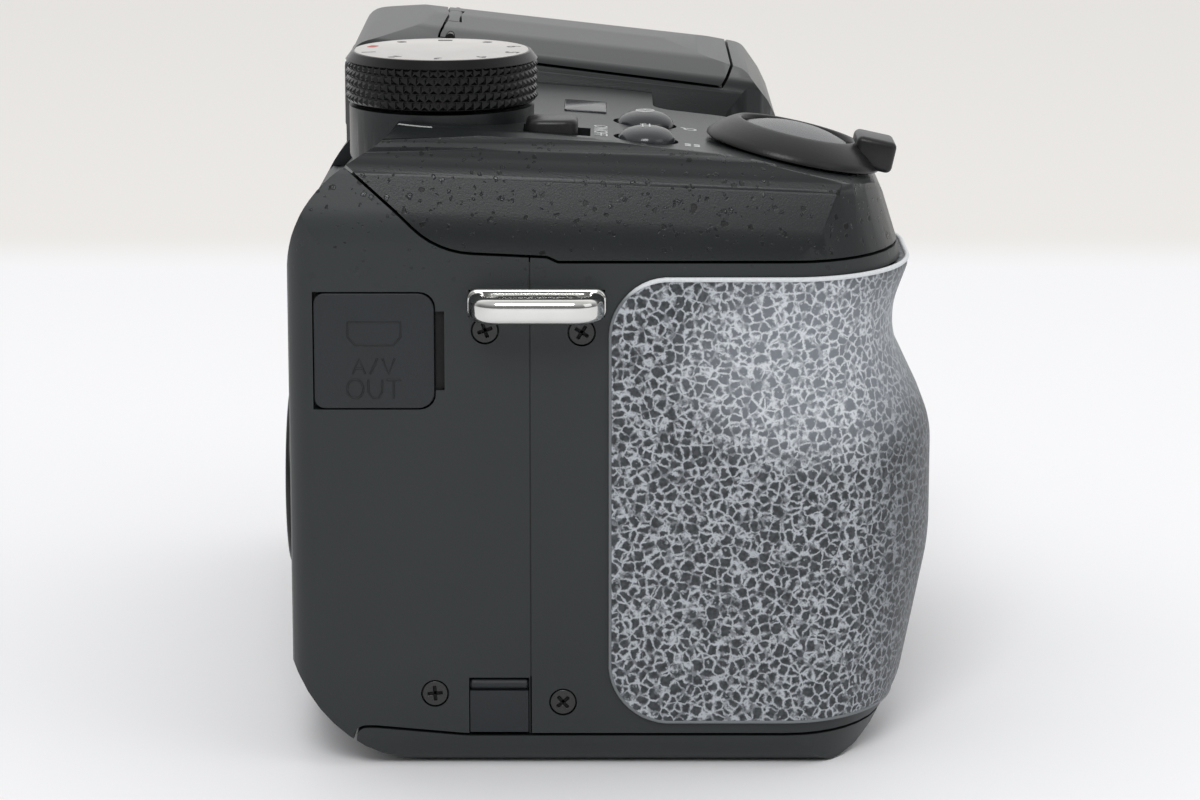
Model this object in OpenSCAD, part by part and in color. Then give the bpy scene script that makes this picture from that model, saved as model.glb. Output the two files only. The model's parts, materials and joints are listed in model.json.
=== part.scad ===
// Bridge camera with a deep grip, a pop-up flash and a telescoping zoom lens.
// Millimetres. The origin is the mouth of the tripod socket, under the optical axis.
// +Z is up, -Y is the way that the lens looks, and the grip is on the -X side.

/* [Body] */
// Distance from the optical axis to the grip side
grip_reach = 64; // [63.5:0.1:66]
// Distance from the optical axis to the plain side
plain_reach = 38.5; // [37.5:0.5:42]
// Distance from the tripod socket to the rear face
rear_reach = 23.5; // [23.3:0.1:24.5]
// Distance from the tripod socket to the front face beside the lens
front_reach = 13; // [12.5:0.1:13.8]
// Distance from the tripod socket to the front of the grip
grip_front = 40.9; // [40.7:0.1:42]
// Height of the parting line under the top cover
parting_z = 51.4; // [51:0.1:52]
// Height of the shoulder beside the mode dial
shoulder_z = 64; // [63.5:0.1:65]
// Overall height, to the top of the flash hump
total_h = 68.6; // [68.4:0.1:69.5]
// Half the width of the flash hump at its base
hump_half = 18; // [17.5:0.1:18.5]
// Wall thickness of the mouldings
wall = 1.8; // [1.5:0.1:2]
// Gap that shows between two mouldings
seam = 0.3; // [0.2:0.05:0.4]
// Height of the battery door's edge
door_z = 3.2; // [3:0.1:3.6]

/* [Grip skin] */
// Thickness of the rubber skin
skin_t = 1; // [0.8:0.1:1.1]
// How far the skin stands proud of the moulding
skin_proud = 0.25; // [0.1:0.05:0.4]
// Rear edge of the skin on the grip side
skin_rear_y = -8.4; // [-10:0.1:-7.5]
// Lower edge of the skin
skin_low_z = 4.7; // [4.3:0.1:6]
// Upper edge of the skin
skin_high_z = 49.7; // [48:0.1:50.2]

/* [Lens] */
// Height of the optical axis
lens_z = 30; // [29.8:0.1:30.4]
// Radius of the fixed lens housing
lens_r = 25; // [24.5:0.1:25.4]
// Distance from the tripod socket to the front of the housing
lens_front = 33; // [32:0.5:34]
// Running clearance between two barrels
barrel_gap = 0.2; // [0.15:0.05:0.3]
// Wall of a barrel
barrel_wall = 2.2; // [1.8:0.1:2.4]
// Radius of the front glass
glass_r = 14; // [12:0.5:14.5]

/* [Controls] */
// Radius of the mode dial
dial_r = 9.85; // [9:0.05:10]
// Height of the mode dial
dial_h = 5.2; // [4.8:0.1:5.6]
// Radius of the zoom ring at its foot
zoom_r = 8.9; // [8.5:0.1:9.2]
// Radius of the shutter button
shutter_r = 5.2; // [4.6:0.1:5.3]
// Forward tilt of the shutter button
shutter_tilt = 12.5; // [11:0.5:13.5]
// Radius of a domed top button
top_button_r = 2.9; // [2.5:0.1:3]
// Gap around a button in its hole
button_gap = 0.35; // [0.2:0.05:0.45]
// Radius of the rear selector pad
selector_r = 9.6; // [9:0.1:10]
// Radius of a small rear button
rear_button_r = 2.7; // [2.3:0.1:3]

/* [Screen and cells] */
// Width of the screen window
screen_w = 57; // [54:0.5:58]
// Height of the screen window
screen_h = 42; // [40:0.5:42.5]
// Radius of a battery cell
cell_r = 7; // [6.8:0.05:7]
// Length of a battery cell
cell_len = 50; // [49.5:0.1:50.5]

/* [Fasteners and mounts] */
// Radius of the tripod thread, a quarter inch across
tripod_r = 3.175; // [3.175:0.01:3.2]
// Depth of the tripod thread
tripod_depth = 4.6; // [4.2:0.1:4.7]
// Radius of a screw head
screw_head_r = 1.25; // [1.1:0.05:1.4]
// Width of a strap lug
lug_w = 13.3; // [11:0.1:14]
// How far a strap lug stands out
lug_reach = 5.2; // [4.8:0.1:6]
// Thickness of a strap lug's bar
lug_bar = 1.9; // [1.6:0.1:2]

/* [Hidden] */
$fn = 64;
far = 90;

// Colours as the photograph shows them
body_black = [0.09, 0.095, 0.1];
soft_black = [0.11, 0.115, 0.12];
trim_black = [0.05, 0.05, 0.055];
skin_grey = [0.32, 0.33, 0.34];
chrome = [0.8, 0.8, 0.78];
steel = [0.6, 0.61, 0.63];
board_green = [0.1, 0.3, 0.2];
glass_blue = [0.35, 0.4, 0.48];

// Front of the grip seen from the side, from the top down, as corners of Y, Z and radius
grip_corners = [
    [-grip_front + 5.5, shoulder_z - 6.2, 2.6],
    [-grip_front + 3.5, parting_z, 0.6],
    [-grip_front + 3.1, skin_high_z - 0.4, 1.2],
    [-grip_front + 4.9, skin_high_z - 4.5, 10],
    [-grip_front + 5, skin_high_z - 9.3, 10],
    [-grip_front, skin_high_z - 18.5, 14],
    [-grip_front, skin_high_z - 29, 25],
    [-grip_front + 2.9, skin_low_z + 1.5, 8],
    [-grip_front + 6.2, 0, 8]
];

// Side outline of the body, as corners of Y, Z and radius
side_corners = concat(grip_corners, [
    [rear_reach, 0, 5],
    [rear_reach, shoulder_z - 7.5, 10],
    [13.8, shoulder_z, 5],
    [-7.4, shoulder_z - 1.5, 30],
    [-21, shoulder_z - 2.9, 30]
]);

// Rear edges seen from the side: the upper one falls, the lower one backs away, from the grip side on
crown_corners = [
    [-far, -far, 0],
    [rear_reach, -far, 0],
    [rear_reach, shoulder_z - 7.5, 14],
    [13.8, shoulder_z, 0],
    [13.8 - far, shoulder_z + far * 0.8, 0],
    [-far, far, 0]
];
crown_fall = 3;
heel_corners = [
    [-far, 0, 0],
    [rear_reach, 0, 15.4],
    [rear_reach, far, 0],
    [-far, far, 0]
];
heel_turn = 10;

// Plan outline of the body, as corners of X, Y and radius
grip_inner = 30.3;
grip_outer_r = 15;
grip_inner_r = 9;
plan_corners = [
    [-grip_reach, rear_reach, 3.2],
    [-grip_reach, -grip_front, grip_outer_r],
    [-grip_inner - 2.6, -grip_front, grip_inner_r],
    [-grip_inner, -front_reach, 2.5],
    [plain_reach, -front_reach, 5],
    [plain_reach, rear_reach, 5]
];

// Shoulders seen from the front, as corners of X, Z and radius
shoulder_corners = [
    [-grip_reach, -far, 0],
    [-grip_reach, parting_z + 2.5, 12],
    [-grip_reach + 2.4, shoulder_z - 3.4, 4.5],
    [-grip_reach + 5.6, shoulder_z - 1.3, 4],
    [-hump_half - 16, shoulder_z + 0.5, 0],
    [hump_half - 3, shoulder_z + 0.5, 0],
    [hump_half - 1, shoulder_z - 3.2, 0],
    [hump_half + 6, shoulder_z - 4.6, 5],
    [plain_reach, shoulder_z - 8.5, 5],
    [plain_reach, -far, 0]
];
shoulder_slope = 3;

// Lower edges seen from the front, as corners of X, Z and radius
foot_corners = [
    [-grip_reach - 1, far, 0],
    [-grip_reach, parting_z, 0],
    [-grip_reach, 0, 3.2],
    [plain_reach, 0, 3.2],
    [plain_reach, parting_z, 0],
    [plain_reach + 1, far, 0]
];

// Flash hump, seen from the side, from the front and from above
hump_side = [
    [20.2, parting_z + seam, 0],
    [20.3, 62, 8],
    [19.7, total_h - 1.6, 2.5],
    [11, total_h, 8],
    [-7.4, total_h - 1.6, 30],
    [-18.8, total_h - 3.7, 20],
    [-23.4, total_h - 4.9, 2.2],
    [-25.7, total_h - 8, 3],
    [-27.1, total_h - 10.8, 1.6],
    [-25, total_h - 12.6, 1],
    [-front_reach, parting_z + seam, 0]
];
hump_front = [
    [-hump_half, -30, 0],
    [-hump_half, -7, 10],
    [-hump_half + 1.6, -2, 2.4],
    [-hump_half + 8, -0.4, 10],
    [0, 0, 30],
    [hump_half - 8, -0.4, 10],
    [hump_half - 1.6, -2, 2.4],
    [hump_half, -7, 10],
    [hump_half, -30, 0]
];
hump_slope = 6.4;
hump_plan = [
    [-hump_half + 0.5, 21, 4],
    [-hump_half, -27.5, 9],
    [hump_half, -27.5, 9],
    [hump_half - 0.5, 21, 4]
];

// Flash head: its lower seam runs down to the front, and it hinges at its rear edge
flash_rear_y = 9;
flash_front_y = -20.6;
flash_seam_rear_z = total_h - 2.6;
flash_seam_front_z = total_h - 6.3;
flash_hinge_r = 1.1;
flash_hinge_z = total_h - 1.4;
flash_pin_r = 0.5;
flash_pin_half = 12.8;
flash_ear_half = 5;
flash_window_half = 10.4;
flash_belly_half = 12.2;
flash_belly_gap = 0.35;
flash_belly = [
    [flash_front_y + 1.2, flash_seam_front_z + 0.6],
    [flash_front_y + 9.2, total_h - 11],
    [flash_front_y + 18, total_h - 9],
    [flash_front_y + 24, flash_seam_front_z + 3.4]
];
flash_hollow = [
    [flash_front_y + 2.4, total_h - 5],
    [flash_front_y + 9.5, total_h - 9.5],
    [flash_front_y + 17.4, total_h - 7.7],
    [flash_front_y + 21.6, total_h - 3.4],
    [flash_front_y + 21.6, total_h - 2.4],
    [flash_front_y + 9.6, total_h - 3.7]
];
flash_face = flash_belly[1] - flash_belly[0];
flash_face_turn = atan2(flash_face.y, flash_face.x);
flash_face_len = norm(flash_face);
flash_button_r = 1.6;
flash_button_y = 4.5;
flash_button_z = shoulder_z - 1.3;
dioptre_r = 3;
dioptre_y = 14.6;
dioptre_z = shoulder_z - 0.4;

// Battery cells stand zigzag in the grip
cell_pitch_x = 12;
cell_pitch_y = 7.7;
cell_wall = 0.8;
cell_low_z = door_z + 0.1;
cell_x = -grip_reach + wall + 0.9 + cell_r + 0.1 + cell_wall;
cell_y = -26;
cell_places = [for (i = [0:3]) [cell_x + cell_pitch_x * (1 - i % 2), cell_y + cell_pitch_y * i]];
box_low_z = door_z + seam;
box_roof_z = cell_low_z + cell_len + 0.4;
box_top_z = box_roof_z + 1;

// Seam between the front and the rear cover, seen on both sides
split_y = -0.5;

// Battery door and its hinge
door_rear_y = 17;
door_hinge_x = -grip_inner - 1.5;
door_hinge_z = 1.5;
door_knuckle_r = 1.3;
door_pin_r = 0.6;
door_pin_run = 0.05;
door_slide = 3;
door_floor = wall;
floor_edge_x = door_hinge_x + 2;
door_knuckles = [[-9, -3], [8.5, 14.5]];
door_ear = [split_y + 0.2, 4.5];
ear_gap = 0.3;

// Base plate under the body
plate_x = [floor_edge_x + 2.5, plain_reach - 4];
plate_y = [-front_reach + 3, rear_reach - 4];
plate_t = wall;
socket_r = 6.95;

// Top controls
dial_x = -grip_reach + 19.5;
dial_y = 8.7;
dial_z = shoulder_z + 0.7;
dial_collar_r = dial_r - 0.45;
dial_shaft_r = 2.5;
slider_x = -grip_reach + 11.5;
slider_y = -2.6;
slider_size = [5, 5.2, 2.3];
slider_travel = 1;
button_y = -12;
outer_button_x = -grip_reach + 10.6;
inner_button_x = -grip_reach + 21.5;
shutter_x = -grip_reach + 16;
shutter_y = -26.75;
shutter_z = shoulder_z - 4.5;
zoom_neck_r = shutter_r + 1.4;
shutter_stem_r = 2;
stem_run = 0.05;
plate_z = shoulder_z - 1.9;
board_t = 0.8;
board_z = box_top_z + 0.1;

// Strap lugs, terminal flap and screws on the sides, as places of Y and Z
lug_y = -1.2;
lug_z = 47.3;
lug_h = 2.6;
terminal_y = [8.9, 20.7];
terminal_z = [36.8, 48.3];
terminal_t = 1.5;
terminal_r = 1.6;
notch_w = 1;
screw_places = [[3.9, 44.6], [-5.6, 44.4], [9.1, 7.6], [-3.7, 6.7]];
screw_head_t = 0.9;
screw_shank_r = 0.7;
dc_y = [split_y + 0.25, 5.6];
dc_z = [door_z + seam + 0.1, 9.1];
dc_t = 1.2;

// Lens train
outer_barrel_r = lens_r - barrel_wall - barrel_gap;
inner_barrel_r = outer_barrel_r - barrel_wall - barrel_gap;
inner_bore_r = inner_barrel_r - barrel_wall;
ring_front = lens_front + 3.9;
outer_barrel_front = ring_front + 0.9;
inner_barrel_front = outer_barrel_front + 0.8;
housing_rear_r = lens_r - 1.2;
housing_back_y = 9.8;
housing_back_t = 3.4;
sensor_size = [14, 3, 11];

// Focus lamp beside the lens
lamp_r = 2.5;
lamp_x = plain_reach - 6.5;
lamp_z = parting_z - 4.9;

// Rear face
screen_x = plain_reach - 31.3;
screen_low_z = 5.6;
screen_t = 1.6;
panel_t = 3.2;
selector_x = -42.5;
selector_z = 25.5;
selector_hole_r = 4.9;
selector_t = 1.7;
menu_r = 4.3;
rear_button_places = [[-33.5, 43], [-46, 43], [-34.5, 10.6], [-50.5, 10.6]];
key_board_y = 18;

// Inner frame
chassis_y = 10.1;
chassis_t = 1.2;
main_board_y = 12.5;
main_board_t = 1.2;

// Unit vector along v
function unit(v) = v / norm(v);

// Points of one rounded corner c between its neighbours p and n
function corner_arc(p, c, n, r, steps) =
    r <= 0 ? [c] :
    let (
        u = unit(p - c),
        v = unit(n - c),
        half = acos(max(-1, min(1, u * v))) / 2,
        t = r / tan(half),
        centre = c + unit(u + v) * r / sin(half),
        a = c + u * t - centre,
        b = c + v * t - centre,
        start = atan2(a.y, a.x),
        turn = atan2(cross(a, b), a * b)
    )
    [for (k = [0:steps]) centre + r * [cos(start + turn * k / steps), sin(start + turn * k / steps)]];

function flat_point(c) = [c[0], c[1]];

// Range of half to either side of c, and a range moved by c
function around(c, half) = [c - half, c + half];
function moved(c, range) = [c + range[0], c + range[1]];

// Outline through corners that each have their own radius
function rounded(corners, steps = 5) =
    let (n = len(corners))
    [for (i = [0:n - 1]) each corner_arc(
        flat_point(corners[(i + n - 1) % n]), flat_point(corners[i]), flat_point(corners[(i + 1) % n]),
        corners[i][2], steps)];

// The grip's front turned by a about the centre of a plan corner of radius r: its waist follows an ellipse
function turned_grip(r, a) = concat([[2 * far, far, 0]],
    [for (c = concat([[grip_corners[0][0], far, 0]], grip_corners, [[grip_corners[8][0], -far, 0]]))
        let (s = -grip_front + r - c[0]) [-norm([s * cos(a), r * sin(a)]), c[1], c[2]]],
    [[2 * far, -far, 0]]);

// A flat outline grown by d, or drawn in where d is negative
module grown(points, d) {
    if (d == 0) polygon(points);
    else offset(delta = d) polygon(points);
}

// Profile of Y and Z drawn out along X from x0 to x1
module along_x(x0, x1) {
    translate([x0, 0, 0]) rotate([90, 0, 90]) linear_extrude(x1 - x0) children();
}

// Profile of X and Z drawn out along Y from y0 to y1
module along_y(y0, y1) {
    translate([0, y1, 0]) rotate([90, 0, 0]) linear_extrude(y1 - y0) children();
}

// Round bar along X, along Y, or in the frame of the shutter button
module bar_x(r, x0, x1, y, z) {
    translate([x0, y, z]) rotate([0, 90, 0]) cylinder(r = r, h = x1 - x0);
}

module bar_y(r, y0, y1, x, z) {
    translate([x, y0, z]) rotate([-90, 0, 0]) cylinder(r = r, h = y1 - y0);
}

module box(x, y, z) {
    translate([x[0], y[0], z[0]]) cube([x[1] - x[0], y[1] - y[0], z[1] - z[0]]);
}

// Solid of revolution on the optical axis, from a profile of radius and distance to the front
module on_optical_axis() {
    translate([0, 0, lens_z]) rotate([90, 0, 0]) rotate_extrude($fn = 96) children();
}

module at_shutter() {
    translate([shutter_x, shutter_y, shutter_z]) rotate([shutter_tilt, 0, 0]) children();
}

// Rounds one corner of the grip, with its centre at x, at each of the turns
module grip_rounding(x, r, turns, d) {
    intersection_for(a = turns) translate([x, -grip_front + r, 0]) rotate([0, 0, a])
        along_x(-2 * far, 2 * far) grown(rounded(turned_grip(r, a)), d);
}

// The whole outer form of the body, grown by d
module body_form(d) {
    intersection() {
        grip_rounding(-grip_reach + grip_outer_r, grip_outer_r, [-80, -70, -60, -50, -40, -30, -20, -10], d);
        union() {
            grip_rounding(-grip_inner - 10.8, grip_inner_r, [15, 30, 45, 60, 75], d);
            box([-far, far], [-front_reach - 4, far], [-far, far]);
        }
        along_x(-far, far) grown(rounded(side_corners), d);
        translate([0, 0, -far]) linear_extrude(2 * far) grown(rounded(plan_corners, 8), d);
        rotate([shoulder_slope, 0, 0]) along_y(-far, far) grown(rounded(shoulder_corners), d);
        along_y(-far, far) grown(rounded(foot_corners), d);
        translate([-grip_reach, 0, 0]) rotate([0, crown_fall, 0])
            along_x(-far, 2 * far) grown(rounded(crown_corners, 12), d);
        translate([-grip_reach, 0, 0]) rotate([0, 0, heel_turn])
            along_x(-far, 2 * far) grown(rounded(heel_corners, 12), d);
    }
}

module hump_form(d) {
    intersection() {
        along_x(-far, far) grown(rounded(hump_side), d);
        translate([0, 0, -far]) linear_extrude(2 * far) grown(rounded(hump_plan, 8), d);
        translate([0, 11, total_h]) rotate([hump_slope, 0, 0])
            along_y(-far, far) grown(rounded(hump_front), d);
    }
}

// Side outline of the parting line: below it lie the covers, above it the top cover
parting_corners = [
    [-far, -far, 0],
    [-far, parting_z, 0],
    [-3.3, parting_z, 0.3],
    [-2.2, parting_z + 0.5, 0.5],
    [8.5, parting_z + 1, 9],
    [18, 61.4, 0],
    [24, 67.6, 0],
    [24, far, 0],
    [far, far, 0],
    [far, -far, 0]
];

// Space of the covers under the top, drawn in by half a seam
module lower_zone() {
    along_x(-far, -hump_half - seam) offset(delta = -seam / 2) polygon(rounded(parting_corners, 6));
    box([-hump_half - seam - 1, far], [-far, far], [-far, parting_z - seam / 2]);
}

// Space of the top cover beside the hump
module top_zone() {
    difference() {
        box([-far, -hump_half - seam], [-far, far], [-far, far]);
        along_x(-far, far) offset(delta = seam / 2) polygon(rounded(parting_corners, 6));
    }
}

// Outline of the battery door seen from the side
door_corners = [
    [-far, -far, 0],
    [-far, door_z, 0],
    [6, door_z, 20],
    [15, door_z + 0.8, 0],
    [door_rear_y, door_z + 0.8, 1],
    [door_rear_y, -far, 0]
];

// Side outline of the grip skin, grown by d
module grip_zone(d) {
    along_x(-far, -grip_inner - 3 + d) grown(rounded([
        [-far, skin_low_z, 0],
        [-far, skin_high_z, 0],
        [skin_rear_y, skin_high_z, 5.8],
        [skin_rear_y, skin_low_z, 6]
    ], 8), d);
}

// What both covers leave free: door, base plate and lens
module cover_cuts() {
    along_x(-far, floor_edge_x) grown(rounded(door_corners), seam);
    box(plate_x + [-seam / 2, seam / 2], plate_y + [-seam / 2, seam / 2], [-far, plate_t + 0.05]);
    bar_y(lens_r + button_gap, -far, -front_reach + wall + 1, 0, lens_z);
    for (p = base_screw_places) translate([p[0], p[1], -1]) cylinder(r = screw_shank_r + 0.05, h = 9);
    box([-far, plate_x[0]], door_ear + [-0.15, 0.15], [-1, 3.1]);
}

// Counterbored holes for the screws on the grip side
module screw_holes(places, x) {
    for (p = places) {
        bar_x(screw_head_r + 0.15, -far, x + screw_head_t, p[0], p[1]);
        bar_x(screw_shank_r + 0.05, -far, x + 8, p[0], p[1]);
    }
}

module front_cover() {
    color(body_black) difference() {
        intersection() {
            body_form(0);
            lower_zone();
            box([-far, far], [-far, split_y - seam / 4], [-far, far]);
        }
        body_form(-wall);
        difference() {
            grip_zone(0.12);
            body_form(-skin_t + skin_proud - 0.1);
        }
        cover_cuts();
        screw_holes([screw_places[1], screw_places[3]], -grip_reach);
        lug_seats();
        bar_y(lamp_r + 0.05, -far, 0, lamp_x, lamp_z);
    }
}

module focus_lamp() {
    color(glass_blue) bar_y(lamp_r, -front_reach - 0.3, -front_reach + wall, lamp_x, lamp_z);
}

module rear_cover() {
    terminal_pad = 3.1;
    color(body_black) difference() {
        union() {
            difference() {
                intersection() {
                    body_form(0);
                    lower_zone();
                    box([-far, far], [split_y + seam / 4, far], [-far, far]);
                }
                body_form(-wall);
            }
            intersection() {
                body_form(-wall / 2);
                box([-grip_reach, -grip_reach + terminal_pad], terminal_y + [-1.5, 1.5],
                    terminal_z + [-1.2, 1.2]);
            }
            for (p = [[-56, 35], [-29, 35], [-56, 14], [-29, 14]])
                bar_y(1.6, key_board_y + 1.25, rear_reach - wall / 2, p[0], p[1]);
        }
        cover_cuts();
        screw_holes([screw_places[0], screw_places[2]], -grip_reach);
        lug_seats();
        terminal_pocket();
        dc_pocket();
        screen_opening(0.15);
        bar_y(selector_r + 0.4, rear_reach - 1.1, far, selector_x, selector_z);
        bar_y(6.2, 0, far, selector_x, selector_z);
        for (p = rear_button_places) bar_y(rear_button_r + 0.2, 0, far, p[0], p[1]);
    }
}

// Slots that hold the feet of the strap lugs
module lug_seats() {
    for (side = [-1, 1], foot = [-1, 1])
        translate([side < 0 ? -grip_reach : plain_reach, lug_y + foot * (lug_w - lug_bar) / 2, lug_z])
            cube([2 * wall + 1, lug_bar + 0.1, lug_h + 0.1], center = true);
}

module terminal_pocket() {
    x = -grip_reach;
    y = terminal_y + [-0.15, 0.15];
    z = terminal_z + [-0.15, 0.15];
    along_x(-far, x + terminal_t + 0.2) polygon(rounded([
        [y[0], z[0], terminal_r], [y[0], z[1], terminal_r], [y[1], z[1], 0], [y[1], z[0], 0]
    ]));
    box([-far, x + 1], [terminal_y[0] - notch_w, terminal_y[0]], terminal_z + [1.8, -1.8]);
    box([-far, x + 6], [main_board_y + main_board_t - 0.2, 18.2], [37.4, 46]);
}

module dc_pocket() {
    box([-far, -grip_reach + dc_t + 0.15], dc_y + [-0.1, 0.1], dc_z + [-1, 0.15]);
    box([-far, -grip_reach + 3], dc_y + [1.2, -1.2], dc_z + [-1, -1.6]);
}

module screen_opening(gap) {
    box([screen_x - screen_w / 2 - gap, screen_x + screen_w / 2 + gap], [rear_reach - wall - 1, far],
        [screen_low_z - gap, screen_low_z + screen_h + gap]);
}

module top_cover() {
    color(soft_black) difference() {
        union() {
            difference() {
                intersection() {
                    body_form(0);
                    top_zone();
                }
                body_form(-wall);
            }
            intersection() {
                top_zone();
                translate([dial_x, dial_y, plate_z - 2])
                    cylinder(r = dial_collar_r, h = dial_z - 0.3 - plate_z + 2);
            }
        }
        translate([dial_x, dial_y, 0]) cylinder(r = dial_shaft_r + 0.05, h = far);
        slider_slot();
        for (x = [outer_button_x, inner_button_x])
            translate([x, button_y, 0]) cylinder(r = top_button_r + button_gap, h = far);
        at_shutter() translate([0, 0, -10]) cylinder(r = zoom_neck_r + 0.2, h = 40);
    }
}

module slider_slot() {
    travel = [-slider_travel - 0.25, 0.25];
    half = slider_size / 2;
    box(around(slider_x, half.x + 0.25), around(slider_y, half.y) + travel, [plate_z - 0.5, far]);
    box(around(slider_x, 1.4), around(slider_y, 1.35) + travel, [0, far]);
}

module plain_shoulder() {
    color(soft_black) difference() {
        intersection() {
            body_form(0);
            box([hump_half + seam, far], [-far, far], [parting_z + seam / 2, far]);
        }
        body_form(-wall);
    }
}

// Space of the flash head above the hump, as a side outline
flash_corners = [
    [flash_rear_y, flash_seam_rear_z],
    [flash_front_y, flash_seam_front_z],
    [flash_front_y - 2.4, flash_seam_front_z + 3.4],
    [flash_front_y - 6, far],
    [flash_rear_y, far]
];

module flash_zone(d) {
    along_x(-far, far) grown(flash_corners, d);
}

// Belly of the flash head, which holds the lamp and hangs in the hump when the head is down
module flash_belly_zone(d) {
    along_x(-flash_belly_half - d, flash_belly_half + d) grown(flash_belly, d);
}

// Frame on the belly's front face: X along the camera, Y down the face, Z into the belly
module on_flash_face() {
    translate([0, flash_belly[0].x, flash_belly[0].y]) rotate([flash_face_turn, 0, 0]) children();
}

// Space inside the hump under the flash head
module hump_hollow() {
    floor_t = 1.3;
    rear_y = flash_rear_y + flash_hinge_r + 1.2;
    difference() {
        intersection() {
            union() {
                body_form(-wall);
                hump_form(-wall);
                box(around(0, hump_half - wall), [-front_reach + wall, rear_reach - wall - 1.6],
                    [0, parting_z + 4]);
            }
            along_x(-hump_half + wall, hump_half - wall) polygon([
                [-far, -far],
                [flash_front_y - far, flash_seam_front_z - seam - floor_t],
                [flash_front_y, flash_seam_front_z - seam - floor_t],
                [rear_y, flash_seam_rear_z - seam - floor_t],
                [rear_y, far],
                [far, far],
                [far, -far]
            ]);
        }
        flash_belly_zone(flash_belly_gap + 1.2);
    }
}

module hump_cover() {
    color(soft_black) difference() {
        union() {
            difference() {
                union() {
                    intersection() {
                        body_form(0);
                        box([-hump_half, hump_half], [-far, far], [parting_z + seam / 2, far]);
                    }
                    hump_form(0);
                }
                flash_zone(seam / 2);
                flash_belly_zone(flash_belly_gap);
                bar_x(flash_hinge_r + 0.25, -flash_pin_half - 0.3, flash_pin_half + 0.3, flash_rear_y,
                    flash_hinge_z);
                hump_hollow();
            }
            intersection() {
                bar_x(flash_hinge_r, -flash_ear_half, flash_ear_half, flash_rear_y, flash_hinge_z);
                hump_form(0);
            }
            intersection() {
                hump_form(-0.2);
                box([-flash_ear_half, flash_ear_half], [flash_rear_y, flash_rear_y + flash_hinge_r + 1.5],
                    [flash_hinge_z - flash_hinge_r, flash_hinge_z + flash_hinge_r]);
            }
        }
        bar_x(flash_pin_r + 0.05, -flash_pin_half, flash_pin_half, flash_rear_y, flash_hinge_z);
        bar_y(lens_r + button_gap, -far, -front_reach + wall + 1, 0, lens_z);
        box([-8.2, 8.2], [16, far], [56.4, 64.4]);
        bar_x(flash_button_r + 0.1, 10, far, flash_button_y, flash_button_z);
        bar_x(dioptre_r + 0.25, hump_half - 2.4, far, dioptre_y, dioptre_z);
        bar_x(1.25, 10, far, dioptre_y, dioptre_z);
    }
}

module base_plate() {
    color(body_black) difference() {
        box(plate_x, plate_y, [0, plate_t]);
        translate([0, 0, -1]) cylinder(r = socket_r + 0.05, h = 9);
        for (p = base_screw_places) {
            translate([p[0], p[1], -1]) cylinder(r = screw_head_r + 0.15, h = 1 + screw_head_t);
            translate([p[0], p[1], -1]) cylinder(r = screw_shank_r + 0.05, h = 9);
        }
    }
}

base_screw_places = [for (x = plate_x + [3, -3], y = plate_y + [3, -3]) [x, y]];

module battery_door() {
    color(body_black) difference() {
        union() {
            difference() {
                intersection() {
                    body_form(0);
                    along_x(-far, door_hinge_x + 0.5) polygon(rounded(door_corners));
                }
                intersection() {
                    body_form(-wall);
                    box([-far, far], [-far, door_rear_y - wall], [door_floor, far]);
                }
                box([door_hinge_x, far], [-front_reach, far], [-1, far]);
            }
            for (k = door_knuckles) {
                bar_y(door_knuckle_r, k[0], k[1], door_hinge_x, door_hinge_z);
                box([door_hinge_x - 2.4, door_hinge_x], k, [door_hinge_z - door_knuckle_r, door_floor]);
            }
        }
        bar_y(door_pin_r + door_pin_run, -far, far, door_hinge_x, door_hinge_z);
        box([door_hinge_x - door_slide - 1.8, far], door_ear + [-ear_gap, ear_gap], [-1, far]);
        for (y = [[door_knuckles[0][0] - 2, door_knuckles[0][0]], [door_knuckles[0][1], door_knuckles[1][0]],
            [door_knuckles[1][1], door_rear_y + 1]])
            box([door_hinge_x - door_pin_r - 0.4, far], y, [-1, far]);
    }
}

module door_contacts() {
    color(steel) for (pair = [0, 2]) {
        a = cell_places[pair];
        b = cell_places[pair + 1];
        box([b[0] - 3, a[0] + 3], [a[1] - 2, b[1] + 3], [door_floor, door_floor + 0.4]);
        for (c = [a, b])
            translate([c[0], c[1], door_floor]) cylinder(r = 3, h = cell_low_z - door_floor - 0.1);
    }
}

module door_hinge_pin() {
    end = 0.8;
    color(steel) bar_y(door_pin_r, door_knuckles[0][0] - end, door_knuckles[1][1] + end, door_hinge_x,
        door_hinge_z);
}

module grip_skin() {
    color(skin_grey) difference() {
        intersection() {
            body_form(skin_proud);
            grip_zone(0);
        }
        body_form(skin_proud - skin_t);
    }
}

// Loop of chromed bar, with its feet in the side of the body
module strap_lug(side) {
    x = side < 0 ? -grip_reach : plain_reach;
    foot = 1.2;
    half = lug_w / 2;
    color(chrome) translate([x, lug_y, lug_z - lug_h / 2]) mirror([side < 0 ? 1 : 0, 0, 0])
        linear_extrude(lug_h) difference() {
            polygon(rounded([[-foot, -half, 0], [lug_reach, -half, 3], [lug_reach, half, 3], [-foot, half, 0]]));
            polygon(rounded([[-foot - 1, -half + lug_bar, 0], [lug_reach - lug_bar, -half + lug_bar, 1.2],
                [lug_reach - lug_bar, half - lug_bar, 1.2], [-foot - 1, half - lug_bar, 0]]));
        }
}

module strap_lug_grip() { strap_lug(-1); }
module strap_lug_plain() { strap_lug(1); }

// Pan-head screw with a cross recess, its head on the plane z = 0 and its shank along -Z
module screw(length) {
    difference() {
        union() {
            cylinder(r = screw_head_r, h = screw_head_t - 0.05);
            translate([0, 0, -length]) cylinder(r = screw_shank_r, h = length + 0.1);
        }
        for (a = [0, 90]) rotate(a) translate([0, 0, screw_head_t]) cube([1.5, 0.32, 0.9], center = true);
    }
}

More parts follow.
